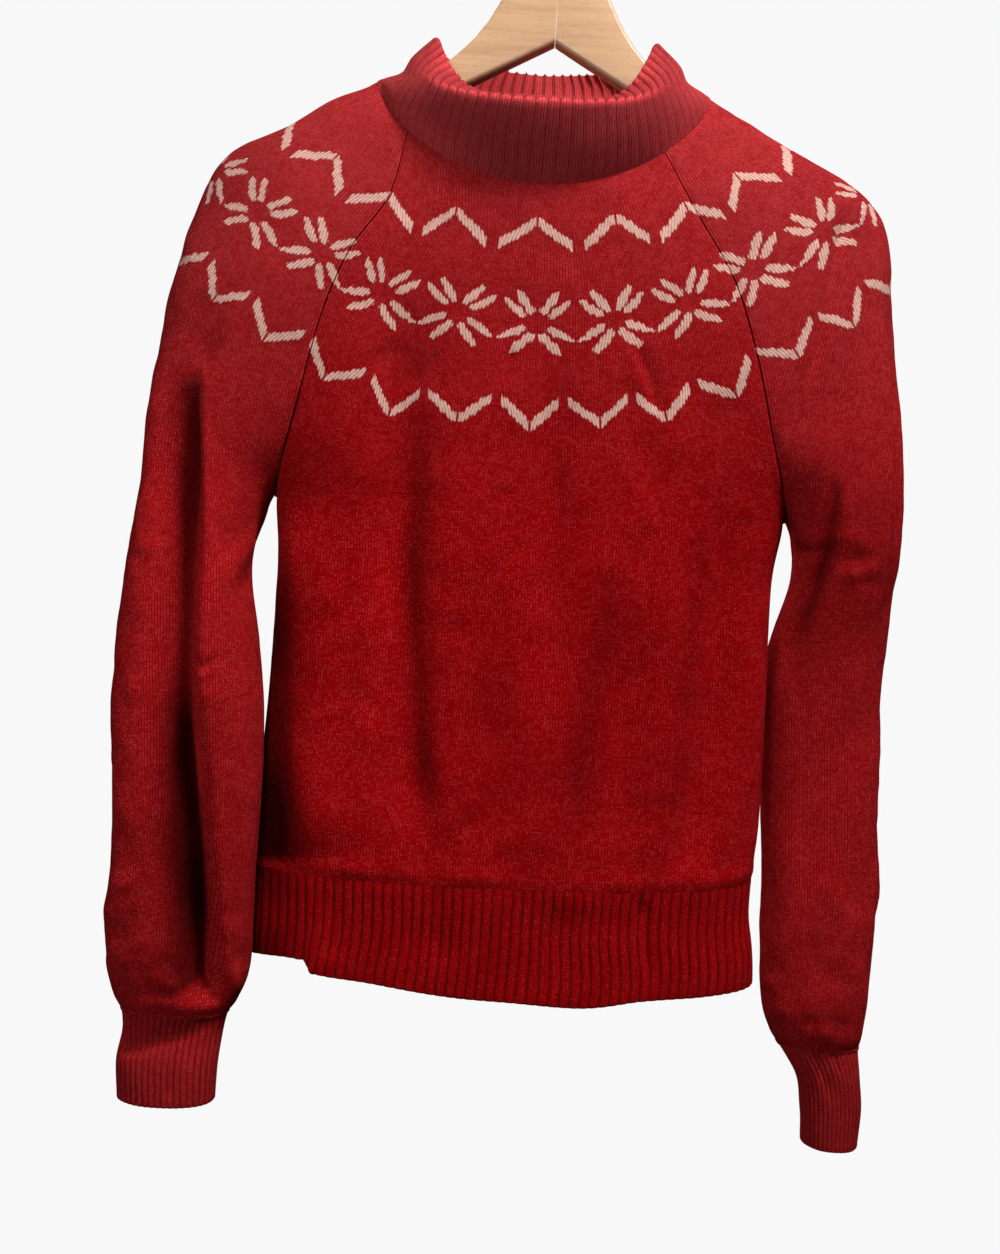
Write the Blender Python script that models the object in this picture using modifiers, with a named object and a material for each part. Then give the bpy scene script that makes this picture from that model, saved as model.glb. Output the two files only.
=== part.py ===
"""A knitted raglan pullover with a ribbed funnel neck, hung on a wooden clothes hanger.

The frame is the hanger's: +X to the viewer's right, +Y to the back, +Z up, and the origin at the
inner top of the hook, where a rail carries it. Tables and sizes are in millimetres. A height is
given as a drop, the distance below the origin. Every panel is a loft through rings: the yoke runs
in rings from the neck seam to the underarm, the body and sleeves in level rings below it.
"""
import math
from collections import namedtuple

import bmesh
import bpy
import numpy as np
from mathutils import Matrix, Vector

MM = 0.001

# Cloth
WALL = 2.4                  # plain knit, inner face to outer face
COLLAR_WALL = 3.0           # the collar is knitted double
RIB_WALL = 2.6
SEAM_GAP = 0.3              # clear width between two sewn pieces
UNDERARM_DROP = 416.0
UNDERARM_X = 167.0
SLEEVE_AXIS = 212.0
PANEL_POWER = 2.8           # squareness of the body's rings: 2 is an ellipse
SLEEVE_POWER = 2.3

# Grid: quads along and across each panel
PANEL_COLUMNS = 20
YOKE_ROWS, BODY_ROWS = 9, 9
SLEEVE_AROUND, CUFF_AROUND = 22, 22
CAP_ROWS, RIB_ROWS = 9, 3
COLLAR_AROUND, HEM_AROUND = 38, 36
# Parts of a piece's width or length that are left clear at its seams
SIDE_TRIM, NECK_TRIM, CAP_SIDE_TRIM, CAP_NECK_TRIM = 0.0009, 0.0015, 0.0017, 0.0012
SIDE_EDGE = 0.012           # the narrow first column, which squares a panel's edge to its seam

# Neck seam: an oval ring that dips at the front and a little at the back
NECK_X, NECK_HALF_WIDTH = -5.4, 108.0
NECK_FRONT_DEPTH, NECK_BACK_DEPTH = 42.0, 30.0
NECK_SIDE_DROP, NECK_FRONT_DIP, NECK_BACK_DIP = 142.6, 74.4, 18.0
NECK_DIP_POWER = 1.3
# Where the raglan seams leave the neck seam, in degrees round from the centre front
FRONT_RAGLAN_LEFT, FRONT_RAGLAN_RIGHT, BACK_RAGLAN = -51.6, 45.8, 130.0

# Raglan seams: share is the part of the way from neck to underarm; x is from the centre plane
Raglan = namedtuple("Raglan", "share left_x left_drop right_x right_drop y")
FRONT_RAGLAN = [
    Raglan(0.2, 99, 228, 95, 231, -36),
    Raglan(0.4, 121, 264, 118, 270, -40),
    Raglan(0.6, 137, 307, 134, 314, -40),
    Raglan(0.8, 150, 360, 148, 364, -34),
    Raglan(0.92, 160, 395, 159, 396, -21),
]
BACK_RAGLANS = [
    Raglan(0.2, 92, 200, 90, 200, 27),
    Raglan(0.4, 113, 250, 112, 250, 31),
    Raglan(0.6, 131, 302, 130, 302, 31),
    Raglan(0.8, 147, 358, 146, 358, 27),
    Raglan(0.92, 159, 394, 158, 394, 17),
]

# The sleeve's outer line from the neck seam over the hanger's tip, and the cap's depth there
Ridge = namedtuple("Ridge", "share left_x left_drop right_x right_drop front back")
RIDGE = [
    Ridge(0.0, 113.4, 142.6, 102.6, 142.6, 28, 20),
    Ridge(0.1, 142.0, 157.2, 131.5, 159.4, 33, 25),
    Ridge(0.2, 171.0, 176.4, 161.0, 176.2, 37, 29),
    Ridge(0.3, 202.5, 192.0, 191.5, 192.4, 39, 31),
    Ridge(0.35, 214.0, 203.5, 207.5, 202.5, 40, 31),
    Ridge(0.4, 221.5, 219.5, 217.5, 216.5, 40, 32),
    Ridge(0.6, 239.0, 283.5, 227.0, 281.0, 40, 32),
    Ridge(0.8, 249.0, 349.0, 238.0, 349.0, 36, 29),
    Ridge(1.0, 254.5, 416.0, 241.7, 416.0, 30, 26),
]

# Body rings below the underarm
Body = namedtuple("Body", "drop left right front back")
BODY = [
    Body(416, 167.0, 167.0, 39, 31),
    Body(440, 162.2, 159.8, 40, 31),
    Body(500, 162.0, 158.2, 41, 32),
    Body(560, 164.0, 158.8, 41, 33),
    Body(610, 166.7, 157.8, 42, 34),
    Body(650, 167.5, 154.7, 41, 34),
    Body(675, 167.5, 154.2, 40, 33),
    Body(700, 167.5, 158.6, 41, 34),
    Body(726, 166.5, 157.5, 42, 35),
]
RIB_TOP_LEFT, RIB_TOP_RIGHT, RIB_TOP_DIP = 650.0, 645.0, 8.0

# The hem's lower edge, from the left side seam to the right one
Hem = namedtuple("Hem", "across front back")
HEM = [
    Hem(0.0, 709.5, 710.0),
    Hem(0.15, 707.0, 711.0),
    Hem(0.29, 707.5, 712.0),
    Hem(0.37, 717.0, 713.0),
    Hem(0.5, 724.0, 714.0),
    Hem(0.56, 725.5, 714.0),
    Hem(0.64, 720.0, 714.0),
    Hem(0.75, 717.0, 713.5),
    Hem(1.0, 712.0, 712.0),
]

# Sleeve rings below the underarm: middle is the y of the ring, front and back its depth from there
Sleeve = namedtuple("Sleeve", "drop inner outer middle front back")
SLEEVE_LEFT = [
    Sleeve(416, 167.6, 254.5, -1, 30, 26),
    Sleeve(430, 173.0, 256.5, -3, 31, 25),
    Sleeve(458, 178.0, 258.5, -7, 32, 25),
    Sleeve(500, 170.5, 260.0, -16, 32, 23),
    Sleeve(540, 163.5, 259.0, -22, 31, 22),
    Sleeve(600, 160.5, 255.0, -27, 31, 21),
    Sleeve(650, 161.5, 252.6, -28, 31, 21),
    Sleeve(695, 161.2, 252.0, -28, 31, 21),
    Sleeve(716, 161.5, 250.5, -27, 31, 21),
    Sleeve(732, 166.5, 246.5, -26, 28, 20),
    Sleeve(743, 172.5, 242.5, -25, 25, 19),
]
SLEEVE_RIGHT = [
    Sleeve(416, 167.6, 241.7, 2, 30, 26),
    Sleeve(430, 174.5, 241.2, 5, 30, 27),
    Sleeve(458, 172.5, 239.8, 10, 29, 28),
    Sleeve(500, 161.8, 239.3, 17, 27, 29),
    Sleeve(550, 160.0, 240.0, 20, 26, 30),
    Sleeve(600, 164.0, 240.5, 20, 27, 30),
    Sleeve(660, 167.0, 243.5, 19, 29, 30),
    Sleeve(700, 168.0, 240.5, 18, 29, 29),
    Sleeve(728, 169.8, 238.5, 17, 28, 28),
    Sleeve(744, 173.0, 236.5, 16, 25, 25),
    Sleeve(757, 181.0, 235.5, 16, 21, 21),
]
CUFF_LEFT = [
    Sleeve(743, 174.5, 241.0, -25, 22, 17),
    Sleeve(754, 177.5, 240.0, -24, 19, 17),
    Sleeve(775, 179.5, 242.0, -26, 20, 17),
    Sleeve(799, 180.5, 240.5, -25, 21, 18),
]
CUFF_RIGHT = [
    Sleeve(757, 182.0, 234.5, 16, 18, 18),
    Sleeve(775, 194.5, 236.0, 15, 17, 17),
    Sleeve(800, 199.5, 238.0, 15, 17, 17),
    Sleeve(821, 201.5, 236.5, 15, 18, 18),
]

# Long folds: a trough runs from x_top at drop top to x_bottom at drop bottom
Fold = namedtuple("Fold", "x_top top x_bottom bottom width depth")
FRONT_FOLDS = [
    Fold(-86, 350, -71, 598, 15, 6),
    Fold(9, 380, 17, 500, 15, 5),
    Fold(118, 460, 114, 598, 14, 6),
    Fold(-30, 520, -22, 598, 20, 3),
    Fold(60, 520, 66, 598, 20, 4),
]
BACK_FOLDS = [
    Fold(80, 380, 66, 598, 18, 6),
    Fold(-25, 430, -30, 598, 18, 5),
    Fold(-112, 450, -108, 598, 16, 6),
]
LEFT_FOLDS = [
    Fold(-213, 300, -210, 500, 12, 16),
    Fold(-212, 500, -184, 708, 12, 17),
]
RIGHT_FOLDS = [
    Fold(171, 390, 182, 600, 11, 13),
    Fold(182, 600, 190, 722, 11, 12),
]
FOLD_FADE = 26.0            # beyond a fold's ends
PANEL_FADE, SLEEVE_FADE = 20.0, 15.0    # towards a side seam, as depths from the side's plane

# Collar rings from the seam to the rim: half width about its own x, depth before and behind, drops,
# and peaked, which is 0 for a rim that dips all the way from its sides and 1 for one with shoulders
CollarRing = namedtuple("CollarRing", "x half_width front back left_drop right_drop front_drop back_drop "
                        "peaked")
COLLAR = [
    CollarRing(-5.4, 108.0, 42, 30, 142.6, 142.6, 217.0, 160.6, 0.0),
    CollarRing(-5.6, 103.0, 54, 37, 140.5, 139.5, 197.0, 147.0, 0.1),
    CollarRing(-5.4, 91.8, 62, 47, 136.5, 133.5, 176.5, 131.0, 0.3),
    CollarRing(-5.2, 86.2, 57, 54, 128.5, 125.0, 170.5, 122.5, 0.6),
    CollarRing(-5.5, 74.0, 45, 62, 117.0, 113.6, 166.0, 113.5, 1.0),
]
SHOULDER_START, SHOULDER_END = 0.15, 1.0    # cosines from the centre, between which a shoulder drops

# Hanger: the upper edge of an arm, from the crest outward, and its lower edge
Edge = namedtuple("Edge", "x drop")
ARM_TOP = [
    Edge(0, 64.0), Edge(16, 65.5), Edge(26, 71.0), Edge(33, 81.0), Edge(39, 93.0), Edge(44.5, 103.0),
    Edge(52, 113.4), Edge(60.5, 122.6), Edge(72, 133.4), Edge(92, 147.3), Edge(125, 161.3),
    Edge(160, 178.9), Edge(187, 193.7), Edge(195, 200.7),
]
ARM_BOTTOM = [Edge(197, 209.0), Edge(193, 215.0), Edge(184, 217.0), Edge(48.7, 141.2), Edge(0, 113.9)]
ARM_THICKNESS, ARM_ROUNDING = 12.5, 1.5
JOINT_GAP = 0.3
HANGER_TILT = 0.88          # degrees that the hanger has swung on its rail, right arm lower
HOOK_WIRE, HOOK_RADIUS = 3.8, 20.0
HOOK_SHANK_DEPTH, HOOK_HOLE, SHANK_CLEARANCE = 24.0, 4.6, 2.0
HOOK_STEM, HOOK_STEPS = 8.0, 20
HOOK_START, HOOK_SWEEP = -62.0, 235.0    # degrees of the hook's round part, where it leaves the stem
HOOK_OFFSET = 1.8           # how far the stem stands to the right of the round part's centre

# Colours: red, green and blue as the surface shows them
WOOL_RED = (0.36, 0.008, 0.012)
RIB_RED = (0.30, 0.008, 0.012)
BEECH = (0.72, 0.50, 0.30)
STEEL = (0.62, 0.62, 0.63)


def curve_through(keys, values, at):
    """Cubic through a table's rows, with slopes from the neighbouring rows."""
    keys = np.asarray(keys, dtype=float)
    values = np.asarray(values, dtype=float)
    at = np.asarray(at, dtype=float)
    slopes = np.gradient(values, keys)
    row = np.clip(np.searchsorted(keys, at, side="right") - 1, 0, len(keys) - 2)
    span = keys[row + 1] - keys[row]
    u = np.clip((at - keys[row]) / span, 0.0, 1.0)
    start = (1 + 2 * u) * (1 - u) ** 2 * values[row] + u * (1 - u) ** 2 * span * slopes[row]
    end = u * u * (3 - 2 * u) * values[row + 1] - u * u * (1 - u) * span * slopes[row + 1]
    return start + end


def column(table, name, key, at):
    return curve_through([getattr(row, key) for row in table], [getattr(row, name) for row in table], at)


def signed_power(value, power):
    return np.sign(value) * np.abs(value) ** power


def point(x, y, drop):
    """Stacks coordinates, which may be arrays, into points along the last axis."""
    x, y, drop = np.broadcast_arrays(np.asarray(x, float), np.asarray(y, float), np.asarray(drop, float))
    return np.stack([x, y, -drop], axis=-1)


def neck_ring(degrees):
    """The neck seam at an angle round from the centre front, positive to the viewer's right."""
    angle = np.radians(degrees)
    forward = np.cos(angle)
    depth = np.where(forward > 0, NECK_FRONT_DEPTH, NECK_BACK_DEPTH)
    dip = np.where(forward > 0, NECK_FRONT_DIP, NECK_BACK_DIP)
    drop = NECK_SIDE_DROP + dip * np.abs(forward) ** NECK_DIP_POWER
    return point(NECK_X + NECK_HALF_WIDTH * np.sin(angle), -depth * forward, drop)


def raglan(side, front, share):
    """A raglan seam: side is -1 or 1, front is True or False."""
    table = FRONT_RAGLAN if front else BACK_RAGLANS
    if front:
        start = neck_ring(FRONT_RAGLAN_LEFT if side < 0 else FRONT_RAGLAN_RIGHT)
    else:
        start = neck_ring(side * BACK_RAGLAN)
    label = "left" if side < 0 else "right"
    shares = [0.0] + [row.share for row in table] + [1.0]
    xs = [side * start[0]] + [getattr(row, label + "_x") for row in table] + [UNDERARM_X]
    drops = [-start[2]] + [getattr(row, label + "_drop") for row in table] + [UNDERARM_DROP]
    ys = [start[1]] + [row.y for row in table] + [0.0]
    return point(side * curve_through(shares, xs, share), curve_through(shares, ys, share),
                 curve_through(shares, drops, share))


def body_half(facing, across, drop):
    """Half a body ring: facing is -1 for the front, 1 for the back; across runs left to right."""
    left = -column(BODY, "left", "drop", drop)
    right = column(BODY, "right", "drop", drop)
    depth = column(BODY, "front" if facing < 0 else "back", "drop", drop)
    angle = np.pi * np.asarray(across)
    x = 0.5 * (left + right) - 0.5 * (right - left) * signed_power(np.cos(angle), 2 / PANEL_POWER)
    y = facing * depth * np.abs(np.sin(angle)) ** (2 / PANEL_POWER)
    return point(x, y, drop)


def yoke_panel(facing, across, share):
    """Coons patch seen from the front, bowed to the depth of the neck seam and the body ring."""
    front = facing < 0
    if front:
        neck_angles = FRONT_RAGLAN_LEFT + (FRONT_RAGLAN_RIGHT - FRONT_RAGLAN_LEFT) * across
    else:
        neck_angles = -BACK_RAGLAN - (360 - 2 * BACK_RAGLAN) * across
    top = neck_ring(neck_angles)
    bottom = body_half(facing, across, UNDERARM_DROP)
    left, right = raglan(-1, front, share), raglan(1, front, share)
    corners = [raglan(side, front, end) for side in (-1, 1) for end in (0.0, 1.0)]
    u, v = np.asarray(across)[..., None], np.asarray(share)[..., None]
    blend = (1 - v) * top + v * bottom + (1 - u) * left + u * right
    patch = blend - ((1 - u) * ((1 - v) * corners[0] + v * corners[1])
                     + u * ((1 - v) * corners[2] + v * corners[3]))

    def bow(part):
        """A ring's depth across the panel, an arc between the depths of its two seams."""
        part = np.asarray(part) + 0 * across
        neck_depth = NECK_FRONT_DEPTH if front else NECK_BACK_DEPTH
        body_depth = column(BODY, "front" if front else "back", "drop", UNDERARM_DROP)
        middle = neck_depth + (body_depth - neck_depth) * part
        ends = [np.abs(raglan(side, front, part)[..., 1]) / middle for side in (-1, 1)]
        start, finish = (np.arcsin(np.clip(end, 0, 1) ** (PANEL_POWER / 2)) for end in ends)
        angle = start + (np.pi - finish - start) * across
        return facing * middle * np.abs(np.sin(angle)) ** (2 / PANEL_POWER)

    patch[..., 1] = bow(share) + (1 - share) ** 3 * (top[..., 1] - bow(0.0))
    return patch


def fold_depth(folds, x, drop):
    """How far the troughs of a table sink at a place."""
    sunk = np.zeros(np.broadcast(x, drop).shape)
    for fold in folds:
        along = (drop - fold.top) / (fold.bottom - fold.top)
        centre = fold.x_top + (fold.x_bottom - fold.x_top) * np.clip(along, 0, 1)
        beyond = np.maximum(fold.top - drop, drop - fold.bottom)
        fade = np.clip(1.0 - beyond / FOLD_FADE, 0, 1)
        sunk = np.maximum(sunk, fold.depth * np.exp(-((x - centre) / fold.width) ** 2) * fade)
    return sunk


def sleeve_ring(side, table, around, drop):
    """A closed level ring: around is 0 and 1 at the body side, 0.5 at the outer line, front first."""
    inner = column(table, "inner", "drop", drop)
    outer = column(table, "outer", "drop", drop)
    angle = 2 * np.pi * np.asarray(around)
    forward = np.sin(angle)
    depth = np.where(forward > 0, column(table, "front", "drop", drop), column(table, "back", "drop", drop))
    x = 0.5 * (inner + outer) - 0.5 * (outer - inner) * signed_power(np.cos(angle), 2 / SLEEVE_POWER)
    y = column(table, "middle", "drop", drop) - depth * signed_power(forward, 2 / SLEEVE_POWER)
    return point(side * x, y, drop)


def half_cap(side, front, over, share):
    """Front or back half of the sleeve cap: over runs from the raglan seam (0) to the ridge (1)."""
    seam = raglan(side, front, share)
    label = "left" if side < 0 else "right"
    ridge = point(side * column(RIDGE, label + "_x", "share", share), 0.0,
                  column(RIDGE, label + "_drop", "share", share))
    facing = -1.0 if front else 1.0
    middle = column(SLEEVE_LEFT if side < 0 else SLEEVE_RIGHT, "middle", "drop", UNDERARM_DROP) * share ** 4
    depth = np.maximum(column(RIDGE, "front" if front else "back", "share", share),
                       np.abs(seam[..., 1] - middle) + 1e-6)
    start = np.arcsin(np.clip(np.abs(seam[..., 1] - middle) / depth, 0, 1))
    angle = start + (np.pi - start) * over
    power = 2 / (2 + (SLEEVE_POWER - 2) * share)
    reach = signed_power(np.cos(start), power) - signed_power(np.cos(angle), power)
    reach = reach / (signed_power(np.cos(start), power) + 1)
    across = seam + (ridge - seam) * reach[..., None]
    across[..., 1] = middle + facing * depth * np.abs(np.sin(angle)) ** power
    return across


def cap_row(side, around, share):
    """A cap ring from the front raglan seam over the ridge to the back one."""
    front = around <= 0.5
    over = np.where(front, 2 * around, 2 - 2 * around)
    share = np.asarray(share) + 0 * around

    def both(part):
        return np.where(front[..., None], half_cap(side, True, over, part), half_cap(side, False, over, part))

    first = FRONT_RAGLAN_LEFT if side < 0 else FRONT_RAGLAN_RIGHT
    front_angle = first + (side * 90 - first) * over
    back_angle = side * (BACK_RAGLAN - (BACK_RAGLAN - 90) * over)
    on_neck = neck_ring(np.where(front, front_angle, back_angle))
    return both(share) + ((1 - share) ** 3)[..., None] * (on_neck - both(0 * share))


def rib_top(across, facing):
    side = RIB_TOP_LEFT + (RIB_TOP_RIGHT - RIB_TOP_LEFT) * across
    return side + (RIB_TOP_DIP if facing < 0 else 0.0) * np.sin(np.pi * across)


def panel_points(facing):
    """Grid of one body panel: yoke rows, then body rows down to the rib."""
    edge = np.array([SIDE_TRIM, SIDE_EDGE])
    across = np.concatenate([edge, np.linspace(0, 1, PANEL_COLUMNS - 1)[1:-1], 1 - edge[::-1]])
    folds = FRONT_FOLDS if facing < 0 else BACK_FOLDS
    rows = []
    for share in np.linspace(0, 1, YOKE_ROWS + 1):
        rows.append(yoke_panel(facing, across, np.full_like(across, max(share, NECK_TRIM))))
    for part in np.linspace(0, 1, BODY_ROWS + 1)[1:]:
        drop = UNDERARM_DROP + (rib_top(across, facing) - SEAM_GAP - UNDERARM_DROP) * part
        rows.append(body_half(facing, across, drop))
    grid = np.array(rows)
    sunk = fold_depth(folds, grid[..., 0], -grid[..., 2])
    grid[..., 1] -= facing * sunk * np.clip(np.abs(grid[..., 1]) / PANEL_FADE, 0, 1)
    return grid


def sleeve_points(side):
    """Cap rows, open along the raglan seams, and tube rows, which close on themselves."""
    table = SLEEVE_LEFT if side < 0 else SLEEVE_RIGHT
    folds = LEFT_FOLDS if side < 0 else RIGHT_FOLDS
    cap, tube = [], []
    for share in np.linspace(0, 1, CAP_ROWS + 1)[:-1]:
        around = np.linspace(CAP_SIDE_TRIM, 1 - CAP_SIDE_TRIM, SLEEVE_AROUND + 1)
        cap.append(cap_row(side, around, max(share, CAP_NECK_TRIM)))
    around = np.linspace(0, 1, SLEEVE_AROUND + 1)[:-1]
    for row in table:
        drop = min(row.drop, table[-1].drop - SEAM_GAP)
        tube.append(sleeve_ring(side, table, around, np.full_like(around, drop)))
    cap, tube = np.array(cap), np.array(tube)
    for grid in (cap, tube):
        sunk = fold_depth(folds, grid[..., 0], -grid[..., 2])
        grid[..., 1] += sunk * np.clip(-grid[..., 1] / SLEEVE_FADE, 0, 1)
    return cap, tube


def collar_points():
    degrees = np.linspace(-180, 180, COLLAR_AROUND + 1)[:-1]
    angle = np.radians(degrees)
    side, forward = np.sin(angle), np.cos(angle)
    rows = []
    for ring in COLLAR:
        depth = np.where(forward > 0, ring.front, ring.back)
        level = 0.5 * (ring.left_drop + ring.right_drop) + 0.5 * (ring.right_drop - ring.left_drop) * side
        part = np.clip((np.abs(forward) - SHOULDER_START) / (SHOULDER_END - SHOULDER_START), 0, 1)
        shouldered = part * part * (3 - 2 * part)
        dip = np.abs(forward) ** NECK_DIP_POWER * (1 - ring.peaked) + shouldered * ring.peaked
        drop = level + (np.where(forward > 0, ring.front_drop, ring.back_drop) - level) * dip
        rows.append(point(ring.x + ring.half_width * side, -depth * forward, drop))
    grid = np.array(rows)
    seam = neck_ring(degrees)
    rise = grid[1] - seam
    grid[0] = seam + rise * (SEAM_GAP / np.linalg.norm(rise, axis=1))[:, None]
    return grid


def hem_points():
    half = HEM_AROUND // 2
    across = np.linspace(0, 1, half + 1)
    rows = []
    for part in np.linspace(0, 1, RIB_ROWS + 1):
        ring = []
        for facing in (-1, 1):
            top = rib_top(across, facing)
            bottom = column(HEM, "front" if facing < 0 else "back", "across", across)
            side = body_half(facing, across, top + (bottom - top) * part)
            ring.append(side[:-1] if facing < 0 else side[:0:-1])
        rows.append(np.concatenate(ring))
    return np.array(rows)


def cuff_points(side):
    table = CUFF_LEFT if side < 0 else CUFF_RIGHT
    around = np.linspace(0, 1, CUFF_AROUND + 1)[:-1]
    drops = np.linspace(table[0].drop, table[-1].drop, RIB_ROWS + 1)
    return np.array([sleeve_ring(side, table, around, np.full_like(around, drop)) for drop in drops])


def add_grid(mesh, grid, closed, above=None):
    """Adds a grid's vertices and quads; above is the row of vertices that the grid carries on from."""
    made = [[mesh.verts.new(Vector(place) * MM) for place in row] for row in grid]
    rows = ([above] if above else []) + made
    for upper, lower in zip(rows[:-1], rows[1:]):
        count = len(lower) if closed else len(lower) - 1
        for i in range(count):
            j = (i + 1) % len(lower)
            mesh.faces.new((upper[i], lower[i], lower[j], upper[j]))
    return made


def finish_cloth(name, mesh, wall, outward, material, collection):
    """Turns an open surface into a cloth solid whose outer face is the surface itself."""
    bmesh.ops.recalc_face_normals(mesh, faces=mesh.faces[:])
    mesh.faces.ensure_lookup_table()
    middle = mesh.faces[len(mesh.faces) // 3]
    if middle.normal.dot(Vector(outward(middle.calc_center_median()))) < 0:
        bmesh.ops.reverse_faces(mesh, faces=mesh.faces[:])
    bmesh.ops.triangulate(mesh, faces=mesh.faces[:])
    data = bpy.data.meshes.new(name)
    mesh.to_mesh(data)
    mesh.free()
    cloth = bpy.data.objects.new(name, data)
    data.materials.append(material)
    data.shade_smooth()
    collection.objects.link(cloth)
    thick = cloth.modifiers.new("Wall", "SOLIDIFY")
    thick.thickness = wall * MM
    thick.offset = -1.0
    thick.use_even_offset = True
    thick.thickness_clamp = 1.0
    return cloth


def make_material(name, colour, roughness, metallic=0.0):
    material = bpy.data.materials.new(name)
    material.use_nodes = True
    shader = material.node_tree.nodes["Principled BSDF"]
    shader.inputs["Base Color"].default_value = (*colour, 1.0)
    shader.inputs["Roughness"].default_value = roughness
    shader.inputs["Metallic"].default_value = metallic
    return material


def make_body_panel(name, facing, collection):
    mesh = bmesh.new()
    add_grid(mesh, panel_points(facing), closed=False)
    wool = make_material(name + "_wool", WOOL_RED, 0.9)
    return finish_cloth(name, mesh, WALL, lambda place: (0, facing, 0), wool, collection)


def make_sleeve(name, side, collection):
    """The cap's last row closes on the tube's first ring, front and back meeting at the underarm."""
    cap, tube = sleeve_points(side)
    mesh = bmesh.new()
    rings = add_grid(mesh, tube, closed=True)
    rows = [[mesh.verts.new(Vector(place) * MM) for place in row] for row in cap]
    rows.append(rings[0] + [rings[0][0]])
    for upper, lower in zip(rows[:-1], rows[1:]):
        for i in range(len(upper) - 1):
            mesh.faces.new((upper[i], lower[i], lower[i + 1], upper[i + 1]))
    wool = make_material(name + "_wool", WOOL_RED, 0.9)
    axis = side * SLEEVE_AXIS * MM
    return finish_cloth(name, mesh, WALL, lambda place: (place.x - axis, place.y, 0), wool, collection)


def make_ring_piece(name, grid, wall, axis_x, collection):
    mesh = bmesh.new()
    add_grid(mesh, grid, closed=True)
    rib = make_material(name + "_rib", RIB_RED, 0.9)
    return finish_cloth(name, mesh, wall, lambda place: (place.x - axis_x * MM, place.y, 0), rib, collection)


def make_arm(name, side, collection):
    """Half the hanger: a flat outline with rounded edges, cut to its mate on the centre plane."""
    curve = bpy.data.curves.new(name, "CURVE")
    curve.dimensions = "2D"
    curve.fill_mode = "BOTH"
    curve.extrude = ARM_THICKNESS / 2 * MM
    outline = curve.splines.new("POLY")
    corners = []
    for edge in ARM_TOP + ARM_BOTTOM:
        corners.append((side * max(edge.x, JOINT_GAP / 2), -edge.drop))
    outline.points.add(len(corners) - 1)
    for spline_point, (x, z) in zip(outline.points, corners):
        spline_point.co = (x * MM, z * MM, 0.0, 1.0)
    outline.use_cyclic_u = True
    flat = bpy.data.objects.new(name + "_outline", curve)
    collection.objects.link(flat)
    bpy.context.view_layer.update()
    data = bpy.data.meshes.new_from_object(flat.evaluated_get(bpy.context.evaluated_depsgraph_get()))
    bpy.data.objects.remove(flat)
    mesh = bmesh.new()
    mesh.from_mesh(data)
    bmesh.ops.remove_doubles(mesh, verts=mesh.verts[:], dist=1e-6)
    bmesh.ops.recalc_face_normals(mesh, faces=mesh.faces[:])
    mesh.to_mesh(data)
    mesh.free()
    arm = bpy.data.objects.new(name, data)
    arm.matrix_world = arm_place() @ Matrix.Rotation(math.radians(90), 4, "X")
    data.materials.clear()
    data.materials.append(make_material(name + "_beech", BEECH, 0.45))
    collection.objects.link(arm)
    rounding = arm.modifiers.new("Eased edges", "BEVEL")
    rounding.width = ARM_ROUNDING * MM
    rounding.segments = 2
    rounding.limit_method = "ANGLE"
    rounding.angle_limit = math.radians(60)
    return arm


def hanger_turn():
    """The hanger swings about the rail, at the origin."""
    return Matrix.Rotation(math.radians(HANGER_TILT), 4, "Y")


def arm_place():
    """The arms meet on the hook's stem."""
    return hanger_turn() @ Matrix.Translation((HOOK_OFFSET * MM, 0, 0))


def hook_route():
    """Wire line from the shank's foot, up the stem, round an S-bend and over to the open tip."""
    reach = HOOK_RADIUS + HOOK_WIRE / 2
    crest = -ARM_TOP[0].drop
    route = [(HOOK_OFFSET, crest - HOOK_SHANK_DEPTH), (HOOK_OFFSET, crest), (HOOK_OFFSET, crest + HOOK_STEM)]
    for step in range(HOOK_STEPS + 1):
        angle = math.radians(HOOK_START + HOOK_SWEEP * step / HOOK_STEPS)
        route.append((reach * math.cos(angle), reach * math.sin(angle) - HOOK_RADIUS))
    return route


def make_hook(name, collection):
    curve = bpy.data.curves.new(name, "CURVE")
    curve.dimensions = "3D"
    curve.bevel_depth = HOOK_WIRE / 2 * MM
    curve.bevel_resolution = 2
    curve.use_fill_caps = True
    route = hook_route()
    wire = curve.splines.new("POLY")
    wire.points.add(len(route) - 1)
    for spline_point, (x, z) in zip(wire.points, route):
        spline_point.co = (x * MM, 0.0, z * MM, 1.0)
    curve.materials.append(make_material(name + "_steel", STEEL, 0.25, 1.0))
    hook = bpy.data.objects.new(name, curve)
    hook.matrix_world = hanger_turn()
    collection.objects.link(hook)
    return hook


def bore_shank_hole(arms, cutters):
    """The hook's shank stands in a hole that is half in each arm."""
    length = HOOK_SHANK_DEPTH + SHANK_CLEARANCE
    bpy.ops.mesh.primitive_cylinder_add(vertices=16, radius=HOOK_HOLE / 2 * MM, depth=2 * length * MM,
                                        location=(0, 0, -ARM_TOP[0].drop * MM))
    cutter = bpy.context.object
    cutter.matrix_world = arm_place() @ cutter.matrix_world
    cutter.name = "shank_hole_cutter"
    cutter.hide_render = True
    cutter.display_type = "WIRE"
    for holder in list(cutter.users_collection):
        holder.objects.unlink(cutter)
    cutters.objects.link(cutter)
    for arm in arms:
        cut = arm.modifiers.new("Shank hole", "BOOLEAN")
        cut.operation = "DIFFERENCE"
        cut.solver = "EXACT"
        cut.object = cutter


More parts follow.
